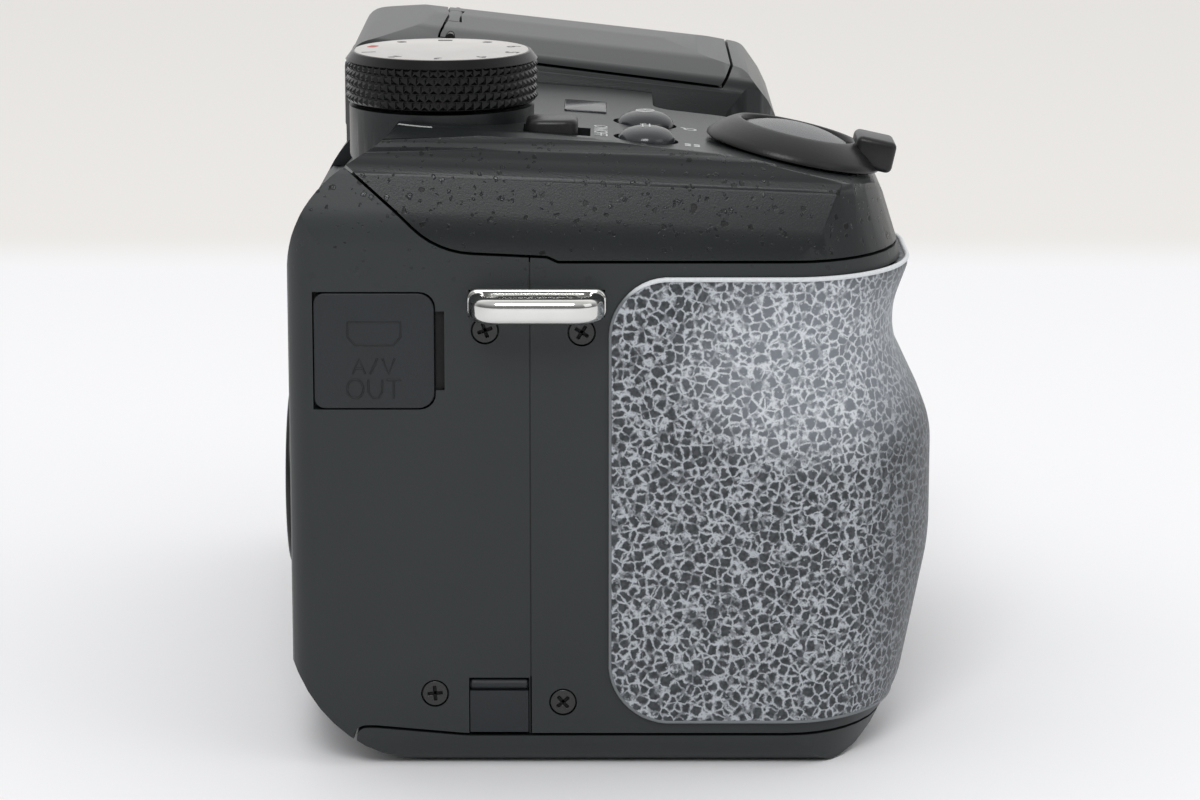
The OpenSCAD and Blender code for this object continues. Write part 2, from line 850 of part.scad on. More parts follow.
module screws() {
    color(trim_black) {
        for (i = [0:3])
            translate([-grip_reach + screw_head_t, screw_places[i][0], screw_places[i][1]])
                rotate([0, -90, 0]) rotate(20 + 37 * i) screw(1.6);
        for (i = [0:3])
            translate([base_screw_places[i][0], base_screw_places[i][1], screw_head_t])
                rotate([180, 0, 0]) rotate(15 + 50 * i) screw(plate_t);
    }
}

// Rubber flap over the socket, bending about its rear edge
module terminal_cover() {
    x = -grip_reach;
    color(soft_black) {
        along_x(x - 0.1, x + terminal_t) polygon(rounded([
            [terminal_y[0], terminal_z[0], terminal_r],
            [terminal_y[0], terminal_z[1], terminal_r],
            [terminal_y[1] - terminal_t / 2, terminal_z[1], 0],
            [terminal_y[1] - terminal_t / 2, terminal_z[0], 0]
        ]));
        translate([x + terminal_t / 2, terminal_y[1] - terminal_t / 2, terminal_z[0] + 0.3])
            cylinder(r = terminal_t / 2, h = terminal_z[1] - terminal_z[0] - 0.6);
    }
}

module terminal_socket() {
    x = [-grip_reach + 3.3, -grip_reach + 12];
    y = [main_board_y + main_board_t, main_board_y + main_board_t + 4.2];
    z = [37.6, 45.8];
    color(steel) difference() {
        box(x, y, z);
        box([-far, x[1] - 1.5], y + [0.5, -0.5], z + [0.5, -0.5]);
    }
    color(trim_black) box([x[0] + 1, x[1] - 1], [15.1, 16.1], [39.4, 44]);
}

// Rubber cover of the cable notch, bending about its upper edge
module dc_cover() {
    x = -grip_reach;
    bend_r = dc_t / 2;
    color(soft_black) {
        box([x - 0.05, x + dc_t], dc_y, [dc_z[0], dc_z[1] - bend_r]);
        bar_y(bend_r, dc_y[0], dc_y[1], x + bend_r, dc_z[1] - bend_r);
    }
}

module mode_dial() {
    foot_z = board_z + board_t + 0.3;
    color(trim_black) translate([dial_x, dial_y, 0]) {
        translate([0, 0, dial_z]) difference() {
            rotate_extrude() polygon([
                [0, 0], [dial_r - 0.5, 0], [dial_r, 0.4], [dial_r, dial_h - 1.1], [dial_r - 0.75, dial_h],
                [0, dial_h]
            ]);
            translate([0, 0, dial_h - 0.3]) cylinder(r = dial_r - 1, h = 1);
        }
        translate([0, 0, foot_z]) cylinder(r = dial_shaft_r, h = dial_z + 1 - foot_z);
        translate([0, 0, plate_z - 3.4]) cylinder(r = dial_shaft_r + 1.5, h = 0.8);
    }
}

module dial_plate() {
    color(steel) translate([dial_x, dial_y, dial_z + dial_h - 0.3]) cylinder(r = dial_r - 1.05, h = 0.35);
}

module power_slider() {
    color(trim_black) {
        box(around(slider_x, slider_size.x / 2), around(slider_y, slider_size.y / 2),
            [plate_z - 0.3, plate_z - 0.3 + slider_size.z]);
        box(around(slider_x, 1.15), around(slider_y, 1.35), [board_z + board_t + 0.3, plate_z]);
    }
}

// Domed button on a stem that reaches down to its switch
module domed_button(x) {
    rim_z = plate_z + 0.05;
    dome_h = 1.25;
    dome_r = (top_button_r * top_button_r + dome_h * dome_h) / (2 * dome_h);
    translate([x, button_y, 0]) {
        translate([0, 0, plate_z - 1]) cylinder(r = top_button_r, h = rim_z - plate_z + 1);
        intersection() {
            translate([0, 0, rim_z - 0.5]) cylinder(r = top_button_r, h = dome_h + 1);
            translate([0, 0, rim_z + dome_h - dome_r]) sphere(r = dome_r);
        }
        translate([0, 0, board_z + board_t + 0.6]) cylinder(r = 1.2, h = plate_z - board_z - board_t - 1);
    }
}

module inner_button() { color(trim_black) domed_button(inner_button_x); }
module outer_button() { color(trim_black) domed_button(outer_button_x); }

module zoom_ring() {
    bore = shutter_r + 0.25;
    lever_w = 6;
    color(trim_black) at_shutter() difference() {
        union() {
            rotate_extrude() polygon([
                [bore - 2, 0.45], [zoom_r, 0.45], [zoom_r, 0.9], [zoom_r - 1.2, 2], [bore + 0.8, 2.9],
                [bore - 2, 2.9]
            ]);
            translate([0, 0, -2.1]) cylinder(r = zoom_neck_r, h = 3);
            translate([-lever_w / 2, -zoom_r - 1.1, 0.7]) cube([lever_w, 4.4, 3.2]);
        }
        translate([0, 0, -5]) cylinder(r = bore, h = 20);
    }
}

module shutter_button() {
    cap_h = 0.6;
    cap_r = (shutter_r * shutter_r + cap_h * cap_h) / (2 * cap_h);
    color(soft_black) at_shutter() {
        intersection() {
            translate([0, 0, 1.2]) cylinder(r = shutter_r, h = 4);
            translate([0, 0, 3.1 - cap_r]) sphere(r = cap_r, $fn = 128);
        }
        translate([0, 0, -3.2]) cylinder(r = shutter_stem_r, h = 5.2);
    }
}

// Board under the top controls, with the bush that guides the shutter button's stem
module control_board() {
    bush_wall = 1.4;
    color(board_green) difference() {
        union() {
            box([cell_x - 4.4, cell_x + cell_pitch_x + 7], [cell_y - 5.4, 16], [board_z, board_z + board_t]);
            intersection() {
                at_shutter() translate([0, 0, -9]) cylinder(r = shutter_stem_r + bush_wall, h = 6.1);
                box([-far, far], [-far, far], [board_z + board_t / 2, far]);
            }
        }
        at_shutter() translate([0, 0, -12]) cylinder(r = shutter_stem_r + stem_run, h = 20);
    }
}

module flash_head() {
    color(soft_black) difference() {
        union() {
            difference() {
                intersection() {
                    hump_form(0);
                    flash_zone(-seam / 2);
                }
                bar_x(flash_hinge_r + 0.25, -flash_ear_half - 0.25, flash_ear_half + 0.25, flash_rear_y,
                    flash_hinge_z);
            }
            flash_belly_zone(0);
            for (side = [-1, 1]) {
                x = side < 0 ? -flash_pin_half : flash_ear_half + 0.25;
                intersection() {
                    bar_x(flash_hinge_r, x, x + flash_pin_half - flash_ear_half - 0.25, flash_rear_y,
                        flash_hinge_z);
                    hump_form(0);
                }
            }
        }
        along_x(-flash_belly_half + 1.2, flash_belly_half - 1.2) polygon(flash_hollow);
        bar_x(flash_pin_r + 0.05, -far, far, flash_rear_y, flash_hinge_z);
        on_flash_face() box(around(0, flash_window_half + 0.1), [1.2, flash_face_len - 1.2], [-1, 1.3]);
    }
}

module flash_window() {
    color(glass_blue) on_flash_face()
        box(around(0, flash_window_half), [1.3, flash_face_len - 1.3], [0, 1.15]);
}

// Reflector with its discharge tube
module flash_reflector() {
    half = flash_window_half - 0.6;
    mid = flash_face_len / 2 + 1;
    color(chrome) on_flash_face() difference() {
        box(around(0, half), around(mid, 2.3), [1.5, 3.3]);
        box([-far, far], around(mid, 1.6), [0, 2.75]);
    }
    color(glass_blue) on_flash_face() bar_x(0.6, -half, half, mid, 2.1);
}

module flash_hinge_pin() {
    color(steel) bar_x(flash_pin_r, -flash_pin_half + 0.2, flash_pin_half - 0.2, flash_rear_y, flash_hinge_z);
}

module flash_button() {
    color(trim_black) bar_x(flash_button_r, hump_half - 3.4, hump_half + 0.4, flash_button_y, flash_button_z);
}

module eyecup() {
    color(trim_black) difference() {
        box([-8, 8], [16.4, 20.9], [56.6, 64.2]);
        box([-6, 6], [0, far], [58, 62.8]);
    }
}

module eyepiece_lens() {
    color(glass_blue) intersection() {
        box([-6.9, 6.9], [12.6, 16.3], [57.3, 62.9]);
        translate([0, -4, 60.1]) sphere(r = 20.2);
    }
}

// Tube of the electronic viewfinder, with its display at the front end
module viewfinder_tube() {
    color(trim_black) difference() {
        box([-8, 8], [5, 16.3], [56.3, 63.4]);
        box([-7, 7], [6.5, far], [57.2, 63]);
    }
}

module dioptre_dial() {
    color(trim_black) {
        bar_x(dioptre_r, hump_half - 2, hump_half + 0.4, dioptre_y, dioptre_z);
        bar_x(1.2, hump_half - 8, hump_half - 2, dioptre_y, dioptre_z);
    }
}

module lens_housing() {
    inner = outer_barrel_r + barrel_gap;
    color(trim_black) difference() {
        on_optical_axis() polygon([
            [inner, -housing_back_y + housing_back_t], [inner, lens_front], [lens_r, lens_front],
            [lens_r, front_reach - 1.5], [housing_rear_r, front_reach - 1.5],
            [housing_rear_r, -housing_back_y], [0, -housing_back_y], [0, -housing_back_y + housing_back_t]
        ]);
        box(around(0, sensor_size.x / 2 + 0.3), [0, far], around(lens_z, sensor_size.z / 2 + 0.3));
    }
}

// Grooved ring at the front of the housing
module lens_ring() {
    inner = outer_barrel_r + barrel_gap;
    grooves = 5;
    pitch = 0.7;
    rib = 0.3;
    taper = (lens_r - inner - 0.8) / grooves;
    color(trim_black) on_optical_axis() polygon(concat(
        [[inner, lens_front], [lens_r, lens_front]],
        [for (i = [0:grooves - 1]) let (foot = lens_front + i * pitch, r = lens_r - i * taper) each [
            [r, foot + 0.35], [r - rib, foot + 0.4], [r - rib, foot + 0.65], [r - taper, foot + 0.7]]],
        [[inner + 0.4, ring_front], [inner, ring_front]]
    ));
}

module outer_barrel() {
    color(body_black) on_optical_axis() polygon([
        [outer_barrel_r - barrel_wall, 8], [outer_barrel_r, 8], [outer_barrel_r, outer_barrel_front - 0.6],
        [outer_barrel_r - 0.6, outer_barrel_front], [outer_barrel_r - barrel_wall, outer_barrel_front]
    ]);
}

module inner_barrel() {
    color(body_black) on_optical_axis() polygon([
        [inner_bore_r, 10], [inner_barrel_r, 10], [inner_barrel_r, inner_barrel_front - 0.6],
        [inner_barrel_r - 0.6, inner_barrel_front], [inner_bore_r, inner_barrel_front]
    ]);
}

module front_ring() {
    color(trim_black) on_optical_axis() polygon([
        [glass_r + 0.1, inner_barrel_front - 2.6], [inner_bore_r - 0.05, inner_barrel_front - 2.6],
        [inner_bore_r - 0.05, inner_barrel_front - 0.3], [glass_r + 0.6, inner_barrel_front - 1.2],
        [glass_r + 0.1, inner_barrel_front - 1.4]
    ]);
}

module front_lens() {
    bulge_r = 42;
    edge = inner_barrel_front - 2.3;
    color(glass_blue) translate([0, -edge, lens_z]) rotate([90, 0, 0]) intersection() {
        translate([0, 0, -3.6]) cylinder(r = glass_r, h = 9);
        translate([0, 0, 1.3 - bulge_r]) sphere(r = bulge_r, $fn = 128);
    }
    color(trim_black) on_optical_axis() polygon([
        [glass_r - 1.5, edge - 6], [inner_bore_r - 0.05, edge - 6], [inner_bore_r - 0.05, edge - 3.65],
        [glass_r - 1.5, edge - 3.65]
    ]);
}

module zoom_lens() {
    color(trim_black) on_optical_axis() polygon([
        [9, 18], [inner_bore_r - 0.05, 18], [inner_bore_r - 0.05, 21], [9, 21]
    ]);
    color(glass_blue) on_optical_axis() polygon([[0, 17.5], [8.95, 18.6], [8.95, 20.4], [0, 21.6]]);
}

module focus_lens() {
    color(trim_black) on_optical_axis() polygon([
        [8, -2.5], [outer_barrel_r + barrel_gap - 0.05, -2.5], [outer_barrel_r + barrel_gap - 0.05, 0], [8, 0]
    ]);
    color(glass_blue) on_optical_axis() polygon([[0, -3.2], [7.95, -2.2], [7.95, -0.4], [0, 0.6]]);
}

module image_sensor() {
    color(steel) box(around(0, sensor_size.x / 2), [chassis_y - sensor_size.y, chassis_y],
        around(lens_z, sensor_size.z / 2));
}

module chassis() {
    ear_z = [0.35, 2.9];
    slot = door_pin_r + door_pin_run;
    color(steel) difference() {
        union() {
            box([-grip_reach + 5.5, plain_reach - wall - 2], [chassis_y, chassis_y + chassis_t], [4.5, 50]);
            box([plate_x[0], plain_reach - wall - 2], [plate_y[0], chassis_y + chassis_t],
                [plate_t + 0.1, 2.9]);
            box([-20, 20], [chassis_y, chassis_y + chassis_t], [2, 5]);
            box([door_hinge_x - door_slide - 1.4, plate_x[0] - 0.3], door_ear, ear_z);
            box([door_hinge_x, plate_x[0] + 1], door_ear, [plate_t + 0.1, 2.9]);
            for (x = [-25, 28], z = [12, 46]) bar_y(1.5, chassis_y, main_board_y, x, z);
        }
        bar_y(slot, -far, far, door_hinge_x, door_hinge_z);
        bar_y(slot, -far, far, door_hinge_x - door_slide, door_hinge_z);
        box([door_hinge_x - door_slide, door_hinge_x], [-far, far], around(door_hinge_z, slot));
        translate([0, 0, -1]) cylinder(r = socket_r + 0.05, h = 9);
        for (p = base_screw_places) translate([p[0], p[1], -1]) cylinder(r = screw_shank_r + 0.05, h = 9);
    }
}

module tripod_socket() {
    color(steel) difference() {
        cylinder(r = socket_r, h = tripod_depth + 0.6);
        translate([0, 0, -1]) cylinder(r = tripod_r, h = tripod_depth + 1);
    }
}

module main_board() {
    color(board_green) box([-grip_reach + 3.4, 30], [main_board_y, main_board_y + main_board_t], [6, 49.5]);
}

module battery_box() {
    color(body_black) difference() {
        translate([0, 0, box_low_z]) linear_extrude(box_top_z - box_low_z)
            for (c = cell_places) translate(c) circle(r = cell_r + 0.1 + cell_wall);
        for (c = cell_places) translate([c[0], c[1], 0]) cylinder(r = cell_r + 0.1, h = box_roof_z);
    }
}

module battery_cells() {
    color([0.25, 0.35, 0.3]) for (c = cell_places) translate([c[0], c[1], cell_low_z]) {
        cylinder(r = cell_r, h = cell_len - 1.3);
        cylinder(r = 2.7, h = cell_len);
    }
}

module cell_contacts() {
    color(steel) for (c = cell_places)
        translate([c[0], c[1], box_roof_z - 0.35]) cylinder(r = 4, h = 0.35);
}

module card_slot() {
    x = [-grip_reach + 5, -grip_reach + 31.5];
    y = [chassis_y - 3.9, chassis_y];
    color(steel) difference() {
        box(x, y, [4.6, 36]);
        box(x + [1, -1], y + [0.7, -0.8], [0, 35]);
    }
}

module screen_window() {
    color(trim_black) difference() {
        screen_opening(0);
        box([-far, far], [-far, rear_reach - screen_t], [-far, far]);
        box([-far, far], [rear_reach + 0.05, far], [-far, far]);
    }
}

module screen_panel() {
    color(steel) box([screen_x - screen_w / 2 + 1, screen_x + screen_w / 2 - 1],
        [rear_reach - screen_t - panel_t, rear_reach - screen_t],
        [screen_low_z + 1, screen_low_z + screen_h - 1]);
}

module selector_pad() {
    y = rear_reach - 0.5;
    color(trim_black) difference() {
        bar_y(selector_r, y, y + selector_t, selector_x, selector_z);
        bar_y(selector_hole_r, -far, far, selector_x, selector_z);
    }
}

module selector_carrier() {
    color(trim_black) difference() {
        bar_y(5.9, rear_reach - 2.4, rear_reach - 0.75, selector_x, selector_z);
        bar_y(selector_hole_r, -far, far, selector_x, selector_z);
    }
}

module menu_button() {
    color(trim_black) {
        bar_y(menu_r, rear_reach - 2.4, rear_reach + 1, selector_x, selector_z);
        bar_y(1.4, key_board_y + 1.8, rear_reach - 2, selector_x, selector_z);
    }
}

// Small round button on the rear face, with a stem towards the key board
module rear_button(place) {
    color(trim_black) {
        bar_y(rear_button_r, rear_reach - wall - 0.4, rear_reach + 0.6, place[0], place[1]);
        bar_y(rear_button_r + 0.7, rear_reach - wall - 1, rear_reach - wall - 0.3, place[0], place[1]);
        bar_y(1, key_board_y + 1.75, rear_reach - wall - 0.8, place[0], place[1]);
    }
}

module playback_button() { rear_button(rear_button_places[0]); }
module mode_button() { rear_button(rear_button_places[1]); }
module display_button() { rear_button(rear_button_places[2]); }
module exposure_button() { rear_button(rear_button_places[3]); }

module rear_key_board() {
    color(board_green) box([-58, -26], [key_board_y, key_board_y + 1.2], [7.5, 46.5]);
}

front_cover();
rear_cover();
top_cover();
plain_shoulder();
hump_cover();
base_plate();
battery_door();
door_contacts();
door_hinge_pin();
grip_skin();
strap_lug_grip();
strap_lug_plain();
screws();
terminal_cover();
terminal_socket();
dc_cover();
mode_dial();
dial_plate();
power_slider();
inner_button();
outer_button();
zoom_ring();
shutter_button();
control_board();
flash_head();
flash_window();
flash_reflector();
flash_hinge_pin();
flash_button();
eyecup();
eyepiece_lens();
viewfinder_tube();
dioptre_dial();
lens_housing();
lens_ring();
outer_barrel();
inner_barrel();
front_ring();
front_lens();
zoom_lens();
focus_lens();
image_sensor();
chassis();
tripod_socket();
main_board();
battery_box();
battery_cells();
cell_contacts();
card_slot();
screen_window();
screen_panel();
selector_pad();
selector_carrier();
menu_button();
playback_button();
mode_button();
display_button();
exposure_button();
rear_key_board();
focus_lamp();
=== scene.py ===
import json
import math

import bmesh
import bpy
from mathutils import Matrix, Vector
from mathutils.bvhtree import BVHTree


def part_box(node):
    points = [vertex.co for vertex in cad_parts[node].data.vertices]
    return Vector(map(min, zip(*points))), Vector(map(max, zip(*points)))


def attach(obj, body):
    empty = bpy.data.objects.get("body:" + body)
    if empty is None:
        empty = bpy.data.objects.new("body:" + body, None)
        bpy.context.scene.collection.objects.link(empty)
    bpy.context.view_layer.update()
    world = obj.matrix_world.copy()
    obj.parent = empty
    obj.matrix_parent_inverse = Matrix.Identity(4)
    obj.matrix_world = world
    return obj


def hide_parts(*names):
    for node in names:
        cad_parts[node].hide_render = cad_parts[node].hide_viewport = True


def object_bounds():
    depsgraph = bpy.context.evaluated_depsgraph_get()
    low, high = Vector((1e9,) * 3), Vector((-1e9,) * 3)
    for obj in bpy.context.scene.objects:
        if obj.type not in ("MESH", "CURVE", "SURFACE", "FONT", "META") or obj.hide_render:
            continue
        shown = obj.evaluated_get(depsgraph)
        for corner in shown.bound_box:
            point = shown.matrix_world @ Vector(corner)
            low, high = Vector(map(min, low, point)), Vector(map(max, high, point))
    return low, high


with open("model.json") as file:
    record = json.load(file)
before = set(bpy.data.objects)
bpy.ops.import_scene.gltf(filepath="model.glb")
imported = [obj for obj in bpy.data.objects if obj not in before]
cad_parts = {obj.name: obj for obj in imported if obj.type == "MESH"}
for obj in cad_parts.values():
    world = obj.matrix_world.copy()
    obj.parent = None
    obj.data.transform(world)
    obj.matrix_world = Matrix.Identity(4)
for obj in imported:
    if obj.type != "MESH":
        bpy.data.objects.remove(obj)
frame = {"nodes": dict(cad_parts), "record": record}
nodes = frame["nodes"]
cadBox = [list(corner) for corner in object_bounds()]
bodies = frame["record"]["behaviour"]["bodies"]
bodyOf = {node: body for body, members in bodies.items() for node in members}
slotOf = {part["node"]: part["material_slot"] for part in frame["record"]["subparts"]}
mm = 0.001


# camera: the grip side from a little above
cameraSetup = {"place": (-455.3, -7.4, 120.8), "tilt": 78, "turn": -90, "lens": 121.8, "sensor": 36}
cameraData = bpy.data.cameras.new("camera")
cameraData.lens = cameraSetup["lens"]
cameraData.sensor_width = cameraSetup["sensor"]
cameraData.clip_start = 0.01
camera = bpy.data.objects.new("camera", cameraData)
camera.location = Vector(cameraSetup["place"]) * mm
camera.rotation_euler = (math.radians(cameraSetup["tilt"]), 0, math.radians(cameraSetup["turn"]))
bpy.context.scene.collection.objects.link(camera)
bpy.context.scene.camera = camera
bpy.context.scene.view_settings.view_transform = "Standard"


# shader maths: a socket that can be added, multiplied and handed to other nodes
class Flow:
    def __init__(self, tree, socket):
        self.tree = tree
        self.socket = socket

    def node(self, kind, settings, inputs, output=0):
        made = self.tree.nodes.new(kind)
        for key, value in settings.items():
            setattr(made, key, value)
        for key, value in inputs.items():
            if isinstance(value, Flow):
                self.tree.links.new(value.socket, made.inputs[key])
            else:
                made.inputs[key].default_value = value
        return Flow(self.tree, made.outputs[output])

    def maths(self, operation, first, second=0.0):
        return self.node("ShaderNodeMath", {"operation": operation}, {0: first, 1: second})

    def __add__(self, other):
        return self.maths("ADD", self, other)

    def __radd__(self, other):
        return self.maths("ADD", other, self)

    def __sub__(self, other):
        return self.maths("SUBTRACT", self, other)

    def __rsub__(self, other):
        return self.maths("SUBTRACT", other, self)

    def __mul__(self, other):
        return self.maths("MULTIPLY", self, other)

    def __rmul__(self, other):
        return self.maths("MULTIPLY", other, self)

    def __abs__(self):
        return self.maths("ABSOLUTE", self)

    def most(self, other):
        return self.maths("MAXIMUM", self, other)


def tone(red, green, blue):
    def linear(value):
        share = value / 255
        return share / 12.92 if share < 0.04045 else ((share + 0.055) / 1.055) ** 2.4

    return (linear(red), linear(green), linear(blue), 1)


def shade(colour, share):
    return (*(part * share for part in colour[:3]), 1)


def noise(at, size, detail=2, output=0):
    inputs = {"Vector": at, "Scale": 1 / (size * mm), "Detail": detail}
    return at.node("ShaderNodeTexNoise", {}, inputs, output)


def cells(at, size, feature="F1", output="Distance"):
    inputs = {"Vector": at, "Scale": 1 / (size * mm)}
    return at.node("ShaderNodeTexVoronoi", {"feature": feature}, inputs, output)


def ramp(value, low, high):
    return value.node("ShaderNodeMapRange", {"interpolation_type": "SMOOTHSTEP"},
                      {"Value": value, "From Min": low, "From Max": high})


def mixed(share, first, second):
    return share.node("ShaderNodeMix", {"data_type": "RGBA"}, {0: share, 6: first, 7: second}, 2)


def shaken(at, size, reach):
    wander = noise(at, size, 2, 1)
    off = at.node("ShaderNodeVectorMath", {"operation": "SUBTRACT"}, {0: wander, 1: (0.5, 0.5, 0.5)})
    far = at.node("ShaderNodeVectorMath", {"operation": "SCALE"}, {0: off, "Scale": 2 * reach * mm})
    return at.node("ShaderNodeVectorMath", {"operation": "ADD"}, {0: at, 1: far})


def axisOf(at, letter):
    return at.node("ShaderNodeSeparateXYZ", {}, {0: at}, letter) * (1 / mm)


def relief(height, depth):
    return height.node("ShaderNodeBump", {}, {"Height": height, "Distance": depth * mm})


# spots of many sizes, one in some of the cells: radius in mm
def spots(at, size, share, smallest, largest):
    place = shaken(at, 0.45, 0.3)
    pick = at.node("ShaderNodeSeparateColor", {}, {0: cells(place, size, output="Color")}, 0)
    grow = at.node("ShaderNodeSeparateColor", {}, {0: cells(place, size, output="Color")}, 1)
    radius = smallest + (largest - smallest) * grow * grow
    return ramp(cells(place, size) * size - radius, 0.06, -0.06) * ramp(pick, share, share - 0.02)


def newFinish(name, **fixed):
    material = bpy.data.materials.new(name)
    material.use_nodes = True
    tree = material.node_tree
    shader = tree.nodes["Principled BSDF"]
    for key, value in fixed.items():
        shader.inputs[key.replace("_", " ")].default_value = value
    at = Flow(tree, tree.nodes.new("ShaderNodeTexCoord").outputs["Object"])

    def feed(**flows):
        for key, value in flows.items():
            tree.links.new(value.socket, shader.inputs[key.replace("_", " ")])

    return material, at, feed


# finishes, each with the grain that the real surface shows, its sizes in millimetres
def mouldedFinish(name, colour, rough, gloss, wearAndSheen):
    material, at, feed = newFinish(name, Specular_IOR_Level=gloss)
    fine = noise(at, 0.16, 3)
    cloud = noise(at, 14, 2)
    dust = spots(at, 2.6, 0.3, 0.03, 0.13)
    where = wearAndSheen(at) * ramp(noise(at, 7, 1), 0.3, 0.5)
    pit = spots(at, 0.85, 0.6, 0.04, 0.3).most(spots(at, 1.5, 0.36, 0.08, 0.46)) * where
    bead = spots(at, 0.75, 0.6, 0.05, 0.26) * where
    base = mixed(cloud * 0.6 + fine * 0.4, shade(colour, 0.75), shade(colour, 1.25))
    dusty = mixed(dust * 0.3, base, tone(150, 152, 150))
    feed(Base_Color=mixed(pit, dusty, tone(5, 5, 6)),
         Roughness=rough + 0.1 * (fine - 0.5) - 0.22 * bead + 0.1 * pit,
         Normal=relief(fine * 0.2 + bead * 1.6 - pit * 0.5, 0.06))
    return material


# painted highlight: place and size of a pale patch on the grip skin where its sheen catches the light
sheenPatch = {"y": -29, "z": 41, "width": 12, "height": 9}


def crackedFinish():
    material, at, feed = newFinish("skin_rubber")
    wander = shaken(shaken(at, 0.8, 0.32), 0.3, 0.14)
    width = 0.1 * noise(at, 2.2, 1)
    crack = ramp(cells(wander, 0.97, "DISTANCE_TO_EDGE") - width, 0.14, -0.06)
    whole = ramp(noise(shaken(at, 0.5, 0.2), 0.8, 2), 0.36, 0.52)
    vein = crack * (0.35 + 0.65 * whole)
    grain = vein.most(spots(at, 0.6, 0.5, 0.04, 0.2) * 0.55)
    # painted highlight: the skin's cells and cracks are mixed paler towards the middle of this patch
    away = (axisOf(at, "Y") - sheenPatch["y"]) * (1 / sheenPatch["width"])
    above = (axisOf(at, "Z") - sheenPatch["z"]) * (1 / sheenPatch["height"])
    wearAndSheen = ramp(away * away + above * above, 1.9, 0.1)
    # painted shade: the pale cracks fade out towards the front edge of the grip, where the skin turns away
    front = ramp(axisOf(at, "Y"), -39.5, -31)
    cell = mixed(ramp(noise(at, 0.45, 3), 0.3, 0.7), tone(31, 35, 38), tone(64, 68, 72))
    paintedLight = mixed(wearAndSheen * 0.6, cell, tone(146, 152, 160))
    line = mixed(wearAndSheen, tone(182, 187, 193), tone(214, 218, 223))
    feed(Base_Color=mixed(grain * (0.4 + 0.6 * front), paintedLight, line),
         Roughness=0.46 + 0.14 * grain + 0.12 * (noise(at, 0.4, 2) - 0.5),
         Normal=relief(noise(at, 0.3, 3) * 0.4 - grain * 0.7, 0.06))
    return material


# edge bead of the skin: painted highlight, pale along the top where the light from above falls on it
def rimFinish():
    material, at, feed = newFinish("rim_rubber")
    high = ramp(axisOf(at, "Z"), 47.4, 49.2)
    fine = noise(at, 0.3, 3)
    paintedLight = mixed(high, tone(112, 116, 119), tone(232, 235, 238))
    feed(Base_Color=mixed(fine * 0.3, paintedLight, tone(96, 100, 103)), Roughness=0.36 + 0.16 * fine,
         Normal=relief(fine, 0.012))
    return material


def satinFinish(name, colour, rough, grain=0.25, depth=0.012, gloss=0.5):
    material, at, feed = newFinish(name, Specular_IOR_Level=gloss)
    fine = noise(at, grain, 3)
    cloud = noise(at, 6, 2)
    feed(Base_Color=mixed(cloud, shade(colour, 0.75), shade(colour, 1.25)),
         Roughness=rough + 0.16 * (fine - 0.5) + 0.08 * (cloud - 0.5), Normal=relief(fine, depth))
    return material


def metalFinish(name, colour, rough):
    material, at, feed = newFinish(name, Metallic=1.0)
    drawn = at.node("ShaderNodeMapping", {}, {"Vector": at, "Scale": (1, 0.12, 1)})
    scratch = noise(drawn, 0.12, 2)
    cloud = noise(at, 3, 2)
    feed(Base_Color=mixed(cloud, shade(colour, 0.85), colour),
         Roughness=rough + 0.1 * (scratch - 0.5) * cloud + 0.05 * cloud)
    return material


def windowFinish(middle, half):
    material, at, feed = newFinish("screen_plastic", Roughness=0.08)
    across = abs(axisOf(at, "X") - middle[0])
    up = abs(axisOf(at, "Z") - middle[1])
    lit = ramp(across, half[0] + 0.1, half[0] - 0.1) * ramp(up, half[1] + 0.1, half[1] - 0.1)
    panel = mixed(noise(at, 9, 2), tone(30, 32, 37), tone(40, 42, 48))
    feed(Base_Color=mixed(lit, tone(9, 9, 10), panel))
    return material


def onShoulder(at):
    side = ramp(axisOf(at, "X"), -57.4, -58.6)
    front = ramp(axisOf(at, "Z"), 60.4, 59.2)
    return side.most(front) * ramp(axisOf(at, "X"), -20, -30)


def onRearCorner(at):
    return ramp(axisOf(at, "Z"), 48, 54) * ramp(axisOf(at, "X"), -20, -50)


bodyPlastic = mouldedFinish("body_plastic", tone(41, 45, 46), 0.44, 0.38, onRearCorner)
topPlastic = mouldedFinish("top_plastic", tone(33, 36, 37), 0.3, 0.3, onShoulder)
skinRubber = crackedFinish()
rimRubber = rimFinish()
flapRubber = satinFinish("flap_rubber", tone(25, 30, 34), 0.55, 0.18, 0.02)
markRubber = satinFinish("mark_rubber", tone(14, 16, 18), 0.6, 0.18)
blackPlastic = satinFinish("black_plastic", tone(29, 29, 30), 0.34, gloss=0.35)
knurlBlack = satinFinish("knurl_black", tone(8, 8, 9), 0.2, gloss=0.25)
shutterPlastic = satinFinish("shutter_plastic", tone(90, 91, 93), 0.28)
seamShadow = satinFinish("seam_shadow", tone(22, 24, 25), 0.6)
glossPlastic = satinFinish("gloss_plastic", tone(52, 54, 57), 0.14)
shadowBlack = satinFinish("shadow_black", tone(4, 4, 4), 0.8)
lensBlack = satinFinish("lens_black", tone(36, 36, 37), 0.4, 0.2)
innerPlastic = satinFinish("inner_plastic", tone(30, 30, 32), 0.55)
whitePaint = satinFinish("white_paint", tone(196, 198, 197), 0.5)
redPaint = satinFinish("red_paint", tone(170, 74, 66), 0.5)
chrome = metalFinish("lug_chrome", tone(222, 222, 219), 0.07)
dialSilver = metalFinish("dial_silver", tone(216, 213, 210), 0.34)
blackSteel = satinFinish("black_steel", tone(36, 36, 37), 0.3)
steel = metalFinish("steel", tone(170, 170, 168), 0.32)
boardGreen = satinFinish("circuit_board", tone(24, 70, 46), 0.45, 0.8)
cellWrap = satinFinish("cell_metal", tone(60, 84, 70), 0.3)
screenPlastic = windowFinish((7.2, 26.6), (25.2, 18.9))
panelGrey = satinFinish("screen_cell", tone(46, 48, 54), 0.3)
